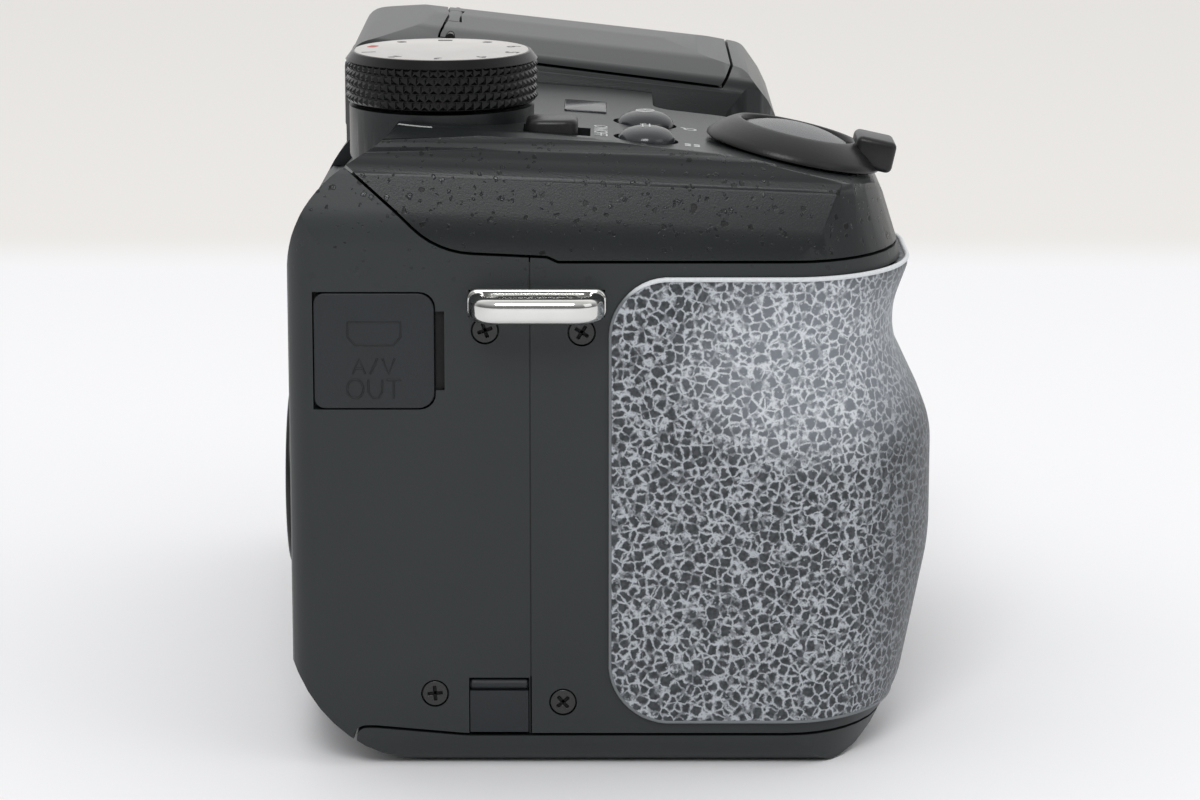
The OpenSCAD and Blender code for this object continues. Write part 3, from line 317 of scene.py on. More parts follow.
lampAmber = satinFinish("lamp_amber", tone(120, 62, 34), 0.12, 0.8)
lensGlass = newFinish("lens_glass", Base_Color=tone(235, 240, 245), Roughness=0.02, IOR=1.5,
                      Transmission_Weight=1.0, Thin_Film_Thickness=430.0, Thin_Film_IOR=1.36)[0]
print("finishes made:", len(bpy.data.materials))


# pieces are modelled in millimetres, and brought to metres when they are kept
def keepPiece(bm, name, finish, node, body=None, hides=True, crease=32):
    bmesh.ops.scale(bm, vec=(mm, mm, mm), verts=bm.verts)
    for face in bm.faces:
        face.smooth = True
    for edge in bm.edges:
        edge.smooth = edge.is_manifold and edge.calc_face_angle() < math.radians(crease)
    mesh = bpy.data.meshes.new(name)
    bm.to_mesh(mesh)
    bm.free()
    mesh.materials.append(finish)
    piece = bpy.data.objects.new(name, mesh)
    bpy.context.scene.collection.objects.link(piece)
    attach(piece, body or bodyOf[node])
    if hides:
        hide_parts(node)
    return piece


def weighNormals(piece):
    weighted = piece.modifiers.new("normals", "WEIGHTED_NORMAL")
    weighted.keep_sharp = True


def softenEdges(piece, width, segments=2, angle=32):
    bevel = piece.modifiers.new("edges", "BEVEL")
    bevel.width = width * mm
    bevel.segments = segments
    bevel.limit_method = "ANGLE"
    bevel.angle_limit = math.radians(angle)
    bevel.use_clamp_overlap = False
    bevel.miter_outer = "MITER_ARC"
    weighNormals(piece)


def copyOf(node):
    bm = bmesh.new()
    bm.from_mesh(nodes[node].data)
    bmesh.ops.scale(bm, vec=(1 / mm, 1 / mm, 1 / mm), verts=bm.verts)
    bmesh.ops.remove_doubles(bm, verts=bm.verts, dist=0.002)
    return bm


def edged(node, finish, width, segments=2):
    bm = copyOf(node)
    bmesh.ops.dissolve_limit(bm, angle_limit=math.radians(0.1), verts=bm.verts, edges=bm.edges)
    softenEdges(keepPiece(bm, node + "_edged", finish, node), width, segments)


def everythingIn(bm):
    return bm.verts[:] + bm.edges[:] + bm.faces[:]


def vertsAmong(items):
    return [item for item in items if isinstance(item, bmesh.types.BMVert)]


def rounded(bm, geom, offset, segments, affect="EDGES"):
    bmesh.ops.bevel(bm, geom=geom, offset=offset, affect=affect, segments=segments, profile=0.5, material=-1)


# the slope behind the crown falls away from the grip side
rearFall = {"covers": ("rear_cover", "top_cover"), "side": -64, "slope": 0.2, "most": 2.2, "from": 54,
            "blend": 2, "start": 12.6, "top": 64, "cuts": (-62, -60, -58, -56, -53, -50)}


# a large cover keeps its triangles, and its soft corners come from its normals
def moulded(node, finish, crease):
    bm = copyOf(node)
    if node in rearFall["covers"]:
        for x in rearFall["cuts"]:
            bmesh.ops.bisect_plane(bm, geom=everythingIn(bm), plane_co=(x, 0, 0), plane_no=(1, 0, 0))
        for vert in bm.verts:
            x, y, z = vert.co
            above = (z - rearFall["from"]) / rearFall["blend"]
            beyond = (y - rearFall["start"]) / rearFall["blend"]
            share = min(max(above, 0), 1) * min(max(beyond, 0), 1) * (z < rearFall["top"])
            vert.co.z -= share * min(max(x - rearFall["side"], 0) * rearFall["slope"], rearFall["most"])
    weighNormals(keepPiece(bm, node + "_moulded", finish, node, crease=crease))


def tidied(bm):
    bmesh.ops.remove_doubles(bm, verts=bm.verts, dist=0.001)
    bmesh.ops.recalc_face_normals(bm, faces=bm.faces)
    return bm


def lathe(profile, steps=96):
    bm = bmesh.new()
    ring = [bm.verts.new((radius, 0, height)) for radius, height in profile]
    line = [bm.edges.new(pair) for pair in zip(ring, ring[1:])]
    bmesh.ops.spin(bm, geom=ring + line, cent=(0, 0, 0), axis=(0, 0, 1), angle=math.tau, steps=steps,
                   use_merge=True)
    return tidied(bm)


def moved(bm, matrix):
    bmesh.ops.transform(bm, matrix=matrix, verts=bm.verts)
    return bm


def joined(*parts):
    bm = bmesh.new()
    for part in parts:
        mesh = bpy.data.meshes.new("part")
        part.to_mesh(mesh)
        part.free()
        bm.from_mesh(mesh)
        bpy.data.meshes.remove(mesh)
    return bm


def block(low, high, edge=0.0, segments=3):
    bm = bmesh.new()
    bmesh.ops.create_cube(bm, size=1)
    low, high = Vector(low), Vector(high)
    bmesh.ops.scale(bm, vec=high - low, verts=bm.verts)
    bmesh.ops.translate(bm, vec=(low + high) / 2, verts=bm.verts)
    if edge:
        rounded(bm, bm.edges[:], edge, segments)
    return bm


# a flat plate about the origin, with its corners rounded: right pair and left pair
def plate(width, height, thick, right, left=None, edge=0.0):
    bm = bmesh.new()
    bmesh.ops.create_grid(bm, x_segments=1, y_segments=1, size=0.5)
    bmesh.ops.scale(bm, vec=(width, height, 1), verts=bm.verts)
    for sign, radius in ((1, right), (-1, right if left is None else left)):
        pair = [vert for vert in bm.verts if vert.co.x * sign > width / 2 - 0.001]
        rounded(bm, pair, radius, 6, "VERTICES")
    top = bmesh.ops.extrude_face_region(bm, geom=bm.faces[:])["geom"]
    bmesh.ops.translate(bm, vec=(0, 0, thick), verts=vertsAmong(top))
    bmesh.ops.recalc_face_normals(bm, faces=bm.faces)
    if edge:
        rim = [line for line in bm.edges if all(vert.co.z > thick - 0.001 for vert in line.verts)]
        rounded(bm, rim, edge, 3)
    return bm


def disc(radius, thick, sides=32):
    bm = bmesh.new()
    bmesh.ops.create_cone(bm, cap_ends=True, segments=sides, radius1=radius, radius2=radius, depth=thick)
    bmesh.ops.translate(bm, vec=(0, 0, thick / 2), verts=bm.verts)
    return bm


def hoop(inner, outer, thick, steps=40):
    return lathe([(inner, 0), (outer, 0), (outer, thick), (inner, thick), (inner, 0)], steps)


def beadAlong(points, radius, closed=True, sides=4, swell=None):
    curve = bpy.data.curves.new("bead", "CURVE")
    curve.dimensions = "3D"
    curve.bevel_depth = radius
    curve.bevel_resolution = sides
    curve.use_fill_caps = True
    spline = curve.splines.new("POLY")
    spline.points.add(len(points) - 1)
    for point, place in zip(spline.points, points):
        point.co = (*place, 1)
        point.radius = swell(place) if swell else 1
    spline.use_cyclic_u = closed
    return meshFrom(curve)


def words(letters, height, thick):
    curve = bpy.data.curves.new("letters", "FONT")
    curve.body = letters
    curve.size = height / 0.7
    curve.extrude = thick
    curve.align_x = "CENTER"
    return meshFrom(curve)


def meshFrom(curve):
    holder = bpy.data.objects.new("holder", curve)
    bpy.context.scene.collection.objects.link(holder)
    mesh = bpy.data.meshes.new_from_object(holder.evaluated_get(bpy.context.evaluated_depsgraph_get()))
    bm = bmesh.new()
    bm.from_mesh(mesh)
    bpy.data.objects.remove(holder)
    bpy.data.curves.remove(curve)
    bpy.data.meshes.remove(mesh)
    return tidied(bm)


# each side of the camera as its viewer sees it: right, up and out
sides = {"side": ((0, -1, 0), (0, 0, 1), (-1, 0, 0)), "rear": ((-1, 0, 0), (0, 0, 1), (0, 1, 0)),
         "front": ((1, 0, 0), (0, 0, 1), (0, -1, 0)), "top": ((-1, 0, 0), (0, -1, 0), (0, 0, 1)),
         "base": ((1, 0, 0), (0, -1, 0), (0, 0, -1)), "plain": ((0, 1, 0), (0, 0, 1), (1, 0, 0))}


def facing(side, place, turn=0):
    axes = Matrix([Vector(axis) for axis in sides[side]]).transposed().to_4x4()
    return Matrix.Translation(Vector(place)) @ axes @ Matrix.Rotation(math.radians(turn), 4, "Z")


# lets a flat mark down on its carrier from above
def seated(bm, carrier):
    tree = BVHTree.FromBMesh(carrier)
    for vert in bm.verts:
        hit = tree.ray_cast(Vector((vert.co.x, vert.co.y, 90)), Vector((0, 0, -1)))[0]
        vert.co.z += hit.z if hit else 0
    return bm


# covers
coverParts = {"front_cover": (bodyPlastic, 32), "rear_cover": (bodyPlastic, 32),
              "base_plate": (bodyPlastic, 32), "battery_door": (bodyPlastic, 32),
              "top_cover": (topPlastic, 62), "plain_shoulder": (topPlastic, 45),
              "hump_cover": (topPlastic, 60), "flash_head": (topPlastic, 50)}
for node, (finish, crease) in coverParts.items():
    moulded(node, finish, crease)
sideSeam = ((-63.92, -0.6, 9.4), (-62.5, -0.4, 51.4))
humpSeam = ((-18.5, -10, 52), (-17.8, 5, 61))
keepPiece(block(*sideSeam), "side_seam", seamShadow, "rear_cover", hides=False)
keepPiece(block(*humpSeam), "hump_seam", shadowBlack, "rear_cover", hides=False)
print("covers done")


# rubber skin round the grip: the front follows the fingers, the corners turn on ellipses
gripSkin = {"side": -64.25, "rear": -8.4, "low": 4.7, "high": 49.7, "proud": 0.25, "wall": 1.0,
            "inner": -33.3, "outerCorner": (-49, -25.9, 15.25), "innerCorner": (-41.1, -31.9, 9.25),
            "innerSweep": 62, "shares": (0.36, 0.76, 0.86), "rearRounds": (6, 5.8), "roundCuts": 12,
            "bead": 0.15, "topBead": 1.6, "swellZone": (1.8, 1.5), "around": 110, "up": 120,
            "front": [(-37.6, 52, 0), (-38.4, 49.2, 1.2), (-36.9, 45.2, 8), (-36.8, 41.6, 8),
                      (-40.9, 33, 10), (-40.9, 20.7, 25), (-38, 6.2, 8), (-34.7, 0, 0)]}


def roundedLine(corners, steps=10):
    points = [Vector(corners[0][:2])]
    for before, (a, b, radius), after in zip(corners, corners[1:], corners[2:]):
        here = Vector((a, b))
        back = (Vector(before[:2]) - here).normalized()
        on = (Vector(after[:2]) - here).normalized()
        half = math.acos(back.dot(on)) / 2
        reach = radius / math.tan(half)
        centre = here + (back + on).normalized() * (radius / math.sin(half))
        first = here + back * reach - centre
        last = here + on * reach - centre
        start = math.atan2(first.y, first.x)
        sweep = math.remainder(math.atan2(last.y, last.x) - start, math.tau)
        for step in range(steps + 1):
            turn = start + sweep * step / steps
            points.append(centre + radius * Vector((math.cos(turn), math.sin(turn))))
    return points + [Vector(corners[-1][:2])]


gripFront = roundedLine(gripSkin["front"])


def frontAt(height):
    for upper, lower in zip(gripFront, gripFront[1:]):
        if lower.y <= height <= upper.y:
            share = (upper.y - height) / max(upper.y - lower.y, 1e-9)
            return upper.x + (lower.x - upper.x) * share - gripSkin["proud"]
    return gripFront[-1].x


# across runs from the rear edge (0) to the inner end (1): side, outer corner, front and inner corner
def gripPoint(across, height):
    front = frontAt(height)
    sideEnd, cornerEnd, frontEnd = gripSkin["shares"]
    outerX, outerY, outerReach = gripSkin["outerCorner"]
    innerX, innerY, innerReach = gripSkin["innerCorner"]
    if across < sideEnd:
        y = gripSkin["rear"] + (outerY - gripSkin["rear"]) * across / sideEnd
        return Vector((gripSkin["side"], y, height))
    if across < cornerEnd:
        turn = math.radians(180 + 90 * (across - sideEnd) / (cornerEnd - sideEnd))
        x = outerX + outerReach * math.cos(turn)
        return Vector((x, outerY + (outerY - front) * math.sin(turn), height))
    if across < frontEnd:
        share = (across - cornerEnd) / (frontEnd - cornerEnd)
        return Vector((outerX + (innerX - outerX) * share, front, height))
    turn = math.radians(270 + gripSkin["innerSweep"] * (across - frontEnd) / (1 - frontEnd))
    x = innerX + innerReach * math.cos(turn)
    return Vector((x, innerY + (innerY - front) * math.sin(turn), height))


skin = bmesh.new()
bmesh.ops.create_grid(skin, x_segments=gripSkin["around"], y_segments=gripSkin["up"], size=1)
for vert in skin.verts:
    height = gripSkin["low"] + (gripSkin["high"] - gripSkin["low"]) * (vert.co.y + 1) / 2
    vert.co = gripPoint((vert.co.x + 1) / 2, height)
cuts = [(Vector((gripSkin["inner"], 0, 0)), Vector((1, 0, 0)))]
for level, sign, radius in zip((gripSkin["low"], gripSkin["high"]), (-1, 1), gripSkin["rearRounds"]):
    centre = Vector((0, gripSkin["rear"] - radius, level - sign * radius))
    for step in range(1, gripSkin["roundCuts"]):
        turn = math.radians(90 * step / gripSkin["roundCuts"])
        normal = Vector((0, math.cos(turn), sign * math.sin(turn)))
        cuts.append((centre + normal * radius, normal))
for place, normal in cuts:
    bmesh.ops.bisect_plane(skin, geom=everythingIn(skin), plane_co=place, plane_no=normal, clear_outer=True)
if min(skin.faces, key=lambda face: face.calc_center_median().x).normal.x > 0:
    bmesh.ops.reverse_faces(skin, faces=skin.faces)
border = [edge for edge in skin.edges if edge.is_boundary]
walk = [border[0].verts[0], border[0].verts[1]]
while True:
    ahead = [edge.other_vert(walk[-1]) for edge in walk[-1].link_edges if edge.is_boundary]
    onward = [vert for vert in ahead if vert is not walk[-2]]
    if onward[0] is walk[0]:
        break
    walk.append(onward[0])
rim = [vert.co.copy() for vert in walk]
gripPiece = keepPiece(skin, "grip_skin_cracked", skinRubber, "grip_skin")
wall = gripPiece.modifiers.new("wall", "SOLIDIFY")
wall.thickness = gripSkin["wall"] * mm
wall.offset = -1


def rimSwell(place):
    below, blend = gripSkin["swellZone"]
    share = min(max((place.z - gripSkin["high"] + below) / blend, 0), 1)
    return 1 + (gripSkin["topBead"] - 1) * share


bead = beadAlong(rim, gripSkin["bead"], swell=rimSwell)
keepPiece(bead, "grip_skin_rim", rimRubber, "grip_skin", hides=False, crease=60)
print("grip skin done")


# mode dial: five staggered rows of small pyramids between a foot ring and a chamfer
modeDial = {"place": (-44.5, 8.7, 64.7), "radius": 9.85, "height": 5.2, "shaft": 3, "foot": -5.2,
            "rows": 5, "columns": 66, "rowLow": 0.2, "rowHigh": 4.3, "bite": 0.34, "platePit": 0.62}
core = modeDial["radius"] - modeDial["bite"]
top, shaft, dialFoot, rowHigh = (modeDial[key] for key in ("height", "shaft", "foot", "rowHigh"))
pit = core - modeDial["platePit"]
dial = lathe([(0, dialFoot), (shaft, dialFoot), (shaft, 0), (core - 0.3, 0), (core, 0.2), (core, rowHigh),
              (core + 0.24, rowHigh + 0.06), (core - 0.36, top - 0.05), (core - 0.46, top), (pit, top),
              (pit, top - 0.3), (0, top - 0.3)])
rows = []
rowHeight = (rowHigh - modeDial["rowLow"]) / modeDial["rows"]
for row in range(modeDial["rows"]):
    low = modeDial["rowLow"] + row * rowHeight
    band = lathe([(core - 0.02, low), (core - 0.02, low + rowHeight)], modeDial["columns"])
    if band.faces[:][0].normal.dot(band.faces[:][0].calc_center_median()) < 0:
        bmesh.ops.reverse_faces(band, faces=band.faces)
    bmesh.ops.poke(band, faces=band.faces, offset=modeDial["bite"])
    rows.append(moved(band, Matrix.Rotation(math.pi / modeDial["columns"] * (row % 2), 4, "Z")))
onDial = Matrix.Translation(modeDial["place"])
keepPiece(moved(joined(dial, *rows), onDial), "mode_dial_knurled", knurlBlack, "mode_dial", crease=25)
plateR = pit - 0.02
turned = lathe([(0, 4.9), (plateR, 4.9), (plateR, 5.16), (plateR - 0.08, 5.25), (plateR - 0.3, 5.25),
                (plateR - 0.4, 5.2), (0, 5.2)])
keepPiece(moved(turned, onDial), "dial_plate_turned", dialSilver, "dial_plate")

# marks of the dial: figures for the programs, bars and a dot between them
dialMarks = {"radius": 6.9, "height": 1.5, "lift": 5.2, "figures": "123456", "places": 10, "start": 0.3,
             "ink": 0.015, "barOut": 0.6, "barWidths": (0.9, 1.5), "bar": (0.9, 0.02, 0.3)}


def dialSpot(step, out=0.0):
    turn = Matrix.Rotation(math.tau * step / dialMarks["places"] + dialMarks["start"], 4, "Z")
    return onDial @ turn @ Matrix.Translation((0, dialMarks["radius"] + out, dialMarks["lift"]))


inks = []
for step, figure in enumerate(dialMarks["figures"]):
    inks.append(moved(words(figure, dialMarks["height"], dialMarks["ink"]), dialSpot(step)))
for step in range(len(dialMarks["figures"]), dialMarks["places"]):
    bar = plate(dialMarks["barWidths"][step % 2], *dialMarks["bar"])
    inks.append(moved(bar, dialSpot(step, dialMarks["barOut"])))
keepPiece(joined(*inks[:-1]), "dial_marks", blackPlastic, "dial_plate", hides=False)
keepPiece(inks[-1], "dial_mark_red", redPaint, "dial_plate", hides=False)
print("mode dial done")


# strap loops of flat wire with round edges
strapLoop = {"bar": 1.9, "height": 2.6, "edge": 0.85, "width": 13.3, "reach": 6.4, "bend": 2.1,
             "middle": -1.2, "level": 47.3, "flange": (13.7, 3.1, 0.75),
             "flangeFace": {"side": -64.0, "plain": 38.5}}


def bentWire(bm, edges, runs):
    for kind, amount, centre in runs:
        if kind == "run":
            ends = vertsAmong(bmesh.ops.extrude_edge_only(bm, edges=edges)["geom"])
            bmesh.ops.translate(bm, vec=amount, verts=ends)
        else:
            ring = list({vert for edge in edges for vert in edge.verts})
            made = bmesh.ops.spin(bm, geom=ring + edges, cent=centre, axis=(0, 0, 1), angle=amount, steps=8)
            ends = vertsAmong(made["geom_last"])
        edges = [edge for edge in bm.edges if edge.verts[0] in ends and edge.verts[1] in ends]
    return edges


for node, foot, side in (("strap_lug_grip", -62.8, "side"), ("strap_lug_plain", 37.3, "plain")):
    wire = bmesh.new()
    bmesh.ops.create_grid(wire, x_segments=1, y_segments=1, size=0.5)
    bmesh.ops.scale(wire, vec=(strapLoop["bar"], strapLoop["height"], 1), verts=wire.verts)
    rounded(wire, wire.verts[:], strapLoop["edge"], 5, "VERTICES")
    bmesh.ops.delete(wire, geom=wire.faces[:], context="FACES_ONLY")
    half = (strapLoop["width"] - strapLoop["bar"]) / 2
    bend = strapLoop["bend"]
    leg = strapLoop["reach"] - strapLoop["bar"] / 2 - bend
    moved(wire, Matrix(((0, 0, 1, 0), (1, 0, 0, -half), (0, 1, 0, 0), (0, 0, 0, 1))))
    firstEnd = wire.edges[:]
    lastEnd = bentWire(wire, firstEnd, (("run", (leg, 0, 0), None),
                                        ("bend", math.pi / 2, (leg, -half + bend, 0)),
                                        ("run", (0, 2 * (half - bend), 0), None),
                                        ("bend", math.pi / 2, (leg, half - bend, 0)),
                                        ("run", (-leg, 0, 0), None)))
    for end in (firstEnd, lastEnd):
        bmesh.ops.contextual_create(wire, geom=end)
    if side == "side":
        moved(wire, Matrix.Rotation(math.pi, 4, "Z"))
    moved(tidied(wire), Matrix.Translation((foot, strapLoop["middle"], strapLoop["level"])))
    flange = plate(*strapLoop["flange"], 1.0, 1.0, 0.3)
    moved(flange, facing(side, (strapLoop["flangeFace"][side], strapLoop["middle"], strapLoop["level"])))
    keepPiece(joined(wire, flange), node + "_wire", chrome, node)
edged("screws", blackSteel, 0.06)
sideScrews = {"places": [(3.9, 44.6), (-5.6, 44.4), (9.1, 7.6), (-3.7, 6.7)], "depth": -63.5, "turn": 20,
              "step": 37, "cross": (1.46, 0.29, 0.2, 0.05)}
crosses = []
for step, (y, z) in enumerate(sideScrews["places"]):
    for quarter in (0, 90):
        turn = sideScrews["turn"] + sideScrews["step"] * step + quarter
        bar = plate(*sideScrews["cross"])
        crosses.append(moved(bar, facing("side", (sideScrews["depth"], y, z), turn)))
keepPiece(joined(*crosses), "screw_crosses", shadowBlack, "screws", hides=False)


# cable flap with its pry slot, and the cover of the cable notch
cableFlap = {"y": (8.9, 20.7), "z": (36.8, 48.3), "face": -64.1, "back": -62.5, "frontRound": 1.6,
             "rearRound": 1.0, "edge": 0.12, "line": 0.13, "sink": 0.06}
middleY, middleZ = sum(cableFlap["y"]) / 2, sum(cableFlap["z"]) / 2
lid = plate(cableFlap["y"][1] - cableFlap["y"][0], cableFlap["z"][1] - cableFlap["z"][0],
            cableFlap["back"] - cableFlap["face"], cableFlap["frontRound"], cableFlap["rearRound"],
            cableFlap["edge"])
moved(lid, facing("side", (cableFlap["back"], middleY, middleZ)))
keepPiece(lid, "cable_flap", flapRubber, "terminal_cover")
socketMark = [(-2.6, 2.9), (2.6, 2.9), (2.6, 1.4), (1.9, 0.6), (-1.9, 0.6), (-2.6, 1.4)]
lines = [beadAlong([(x, y, 0) for x, y in socketMark], cableFlap["line"])]
letters = [[(-2.1, -2.3), (-1.5, -0.75), (-0.9, -2.3)], [(-1.85, -1.75), (-1.15, -1.75)],
           [(-0.4, -2.3), (0.3, -0.75)], [(0.8, -0.75), (1.4, -2.3), (2.0, -0.75)],
           [(-0.6, -2.9), (-0.6, -4.1), (-0.2, -4.7), (0.4, -4.7), (0.75, -4.1), (0.75, -2.9)],
           [(1.2, -2.9), (2.6, -2.9)], [(1.9, -2.9), (1.9, -4.75)]]
turns = [math.tau * step / 20 for step in range(20)]
roundLetter = [(-1.9 + 0.8 * math.cos(turn), -3.8 + 0.95 * math.sin(turn)) for turn in turns]
lines += [beadAlong([(x, y, 0) for x, y in stroke], cableFlap["line"], False) for stroke in letters]
lines.append(beadAlong([(x, y, 0) for x, y in roundLetter], cableFlap["line"]))
mark = moved(joined(*lines), facing("side", (cableFlap["face"] + cableFlap["sink"], middleY, middleZ)))
keepPiece(mark, "cable_flap_mark", markRubber, "terminal_cover", hides=False, crease=60)
prySlot = {"y": (7.85, 8.75), "z": (38.65, 46.45), "depth": -63.3, "thick": 0.3, "rounds": (0.42, 0.05)}
slot = plate(prySlot["y"][1] - prySlot["y"][0], prySlot["z"][1] - prySlot["z"][0], prySlot["thick"],
             *prySlot["rounds"])
moved(slot, facing("side", (prySlot["depth"], sum(prySlot["y"]) / 2, sum(prySlot["z"]) / 2)))
keepPiece(slot, "pry_slot", shadowBlack, "rear_cover", hides=False)
notchCover = {"y": (-0.25, 5.6), "low": 3.6, "groove": 7.9, "face": -64.05, "back": -62.8,
              "axis": (-63.4, 8.5), "roll": 0.58, "rollEdge": 0.2, "edge": 0.08}
(first, last), groove, back = notchCover["y"], notchCover["groove"], notchCover["back"]
axisX, axisZ = notchCover["axis"]
roll, cut, long = notchCover["roll"], notchCover["rollEdge"], last - first
lower = block((notchCover["face"], first, notchCover["low"]), (back, last, groove), notchCover["edge"], 2)
waist = block((axisX, first + 0.1, groove - 0.2), (back, last - 0.1, axisZ))
profile = [(0, 0), (roll - cut, 0), (roll, cut), (roll, long - cut), (roll - cut, long), (0, long)]
barrel = moved(lathe(profile, 32), Matrix.Rotation(-math.pi / 2, 4, "X"))
moved(barrel, Matrix.Translation((axisX, first, axisZ)))
keepPiece(joined(lower, waist, barrel), "cable_notch_cover", flapRubber, "dc_cover")
print("side parts done")


# slider, domed buttons, zoom ring and shutter button
powerSlider = {"centre": (-52.5, -2.6), "size": (5, 5.2, 2.3), "foot": 61.8, "round": 1.4, "edge": 0.5,
               "stem": ((-53.65, -3.95, 55.9), (-51.35, -1.25, 62))}
knob = plate(*powerSlider["size"], powerSlider["round"], powerSlider["round"], powerSlider["edge"])
moved(knob, facing("top", (*powerSlider["centre"], powerSlider["foot"])))
keepPiece(joined(knob, block(*powerSlider["stem"])), "power_slider_knob", blackPlastic, "power_slider")
topButton = {"places": {"outer_button": (-53.4, -12), "inner_button": (-42.5, -12)}, "line": 0.1,
             "stem": [(0, 56.2), (1.2, 56.2), (1.2, 61.2)],
             "dome": [(2.9, 61.2), (2.9, 62.0), (2.86, 62.2), (2.7, 62.5), (2.35, 62.85), (1.8, 63.13),
                      (1.1, 63.32), (0.5, 63.39), (0, 63.4)]}
dash = [0.3 * step - 0.9 for step in range(7)]
turns = [0.3 * step for step in range(22)]
ringMark = [(0.9 * math.cos(turn), 0.9 * math.sin(turn)) for turn in turns]
buttonMarks = {"outer_button": [[(a, 0.35) for a in dash], [(a, -0.35) for a in dash]],
               "inner_button": [ringMark, [(a / 3, 0) for a in dash]]}
for node, (x, y) in topButton["places"].items():
    cap = moved(lathe(topButton["stem"] + topButton["dome"], 64), Matrix.Translation((x, y, 0)))
    strokes = [[(x + a, y + b, 0) for a, b in stroke] for stroke in buttonMarks[node]]
    ink = joined(*(beadAlong(stroke, topButton["line"], False, 1) for stroke in strokes))
    keepPiece(seated(ink, cap), node + "_mark", whitePaint, node, hides=False)
    keepPiece(cap, node + "_dome", glossPlastic, node)

zoomRing = {"place": (-48, -26.75, 59.5), "tilt": 12.5, "bore": 5.45, "neck": 6.6, "foot": -2.1,
            "flank": [(8.75, 0.45), (8.9, 0.55), (8.88, 0.85), (8.5, 1.3), (7.9, 1.85), (7.2, 2.36),
                      (6.6, 2.72), (6.3, 2.86), (6.1, 2.9), (5.9, 2.86), (5.78, 2.74), (5.7, 2.3)],
            "lever": ((-3, -10, 0.7), (3, -5.9, 3.9)), "leverEdge": 0.6}
tilted = Matrix.Rotation(math.radians(zoomRing["tilt"]), 4, "X")
onShutter = Matrix.Translation(zoomRing["place"]) @ tilted
bore, neck, foot = zoomRing["bore"], zoomRing["neck"], zoomRing["foot"]
outside = [(bore, foot), (neck, foot), (neck, zoomRing["flank"][0][1])] + zoomRing["flank"]
inside = [(bore, zoomRing["flank"][-1][1]), (bore, foot)]
collar = lathe(outside + inside, 128)
lever = block(*zoomRing["lever"], zoomRing["leverEdge"], 4)
ring = moved(joined(collar, lever), onShutter)
keepPiece(ring, "zoom_ring_turned", blackPlastic, "zoom_ring", crease=40)
shutterDome = [(0, -3.2), (2, -3.2), (2, 1.2), (5.2, 1.2), (5.2, 2.35), (5.12, 2.5), (4.95, 2.57),
               (4.4, 2.75), (3.6, 3.0), (2.6, 3.22), (1.4, 3.38), (0, 3.45)]
keepPiece(moved(lathe(shutterDome), onShutter), "shutter_button_dome", shutterPlastic, "shutter_button")

# marks printed on the top plate
topMarks = {"thick": 0.02, "power": (-51, -6.8, 0), "powerHeight": 1.4, "powerProud": 0.06,
            "squares": (-54.6, -16.6), "squareStep": 0.45, "square": 0.6, "corner": 0.05,
            "lens": (-43.6, -16.6, 0), "handle": (-43.0, -16.0, 0),
            "indexRadius": 11, "index": range(159, 178, 3)}
thick = topMarks["thick"]
power = words("ON/OFF", topMarks["powerHeight"], topMarks["powerProud"])
plateMarks = [moved(power, facing("top", topMarks["power"]))]
for across, along in ((-1, -1), (1, -1), (-1, 1), (1, 1)):
    x = topMarks["squares"][0] + across * topMarks["squareStep"]
    y = topMarks["squares"][1] + along * topMarks["squareStep"]
    square = plate(topMarks["square"], topMarks["square"], thick, topMarks["corner"])
    plateMarks.append(moved(square, facing("top", (x, y, 0))))
plateMarks.append(moved(hoop(0.45, 0.7, thick, 24), facing("top", topMarks["lens"])))
handle = plate(0.9, 0.25, thick, topMarks["corner"])
plateMarks.append(moved(handle, facing("top", topMarks["handle"], 45)))
angles = [math.radians(angle) for angle in topMarks["index"]]
for first, last in zip(angles, angles[1:]):
    middle = Matrix.Rotation((first + last) / 2, 4, "Z")
    spot = Vector(modeDial["place"]) + middle @ Vector((topMarks["indexRadius"], 0, 0))
    dashMark = moved(plate(0.4, 0.6, thick, thick), middle)
    plateMarks.append(moved(dashMark, Matrix.Translation((spot.x, spot.y, 0))))
marks = seated(joined(*plateMarks), copyOf("top_cover"))
keepPiece(marks, "top_marks", whitePaint, "top_cover", hides=False)
# a raised step on the plate by the hump, in the paler, glossier plastic: its paler tone is painted highlight
# for the light its face catches
humpStep = {"centre": (-34.35, -5.9), "size": (7.7, 4.4, 0.2), "round": 0.3, "edge": 0.1, "sink": 0.02}
step = plate(*humpStep["size"], humpStep["round"], humpStep["round"], humpStep["edge"])
moved(step, Matrix.Translation((*humpStep["centre"], -humpStep["sink"])))
keepPiece(seated(step, copyOf("top_cover")), "hump_step", glossPlastic, "top_cover", hides=False)
print("top controls done")


# lens
for node in ("lens_housing", "lens_ring", "outer_barrel", "inner_barrel", "front_ring"):
    edged(node, lensBlack, 0.12)


# flash window with its upright ribs, and the eyecup
flashRibs = {"count": 26, "half": 10.1, "radius": 0.3, "low": (-12.7, 58.45), "high": (-18.1, 62.05)}
ribs = []
for step in range(flashRibs["count"]):
    x = flashRibs["half"] * (2 * step / (flashRibs["count"] - 1) - 1)
    ends = [(x, *flashRibs["low"]), (x, *flashRibs["high"])]
    ribs.append(beadAlong(ends, flashRibs["radius"], False, 2))
keepPiece(joined(*ribs), "flash_ribs", lensGlass, "flash_window", hides=False, crease=60)
edged("eyecup", blackPlastic, 0.7, 4)


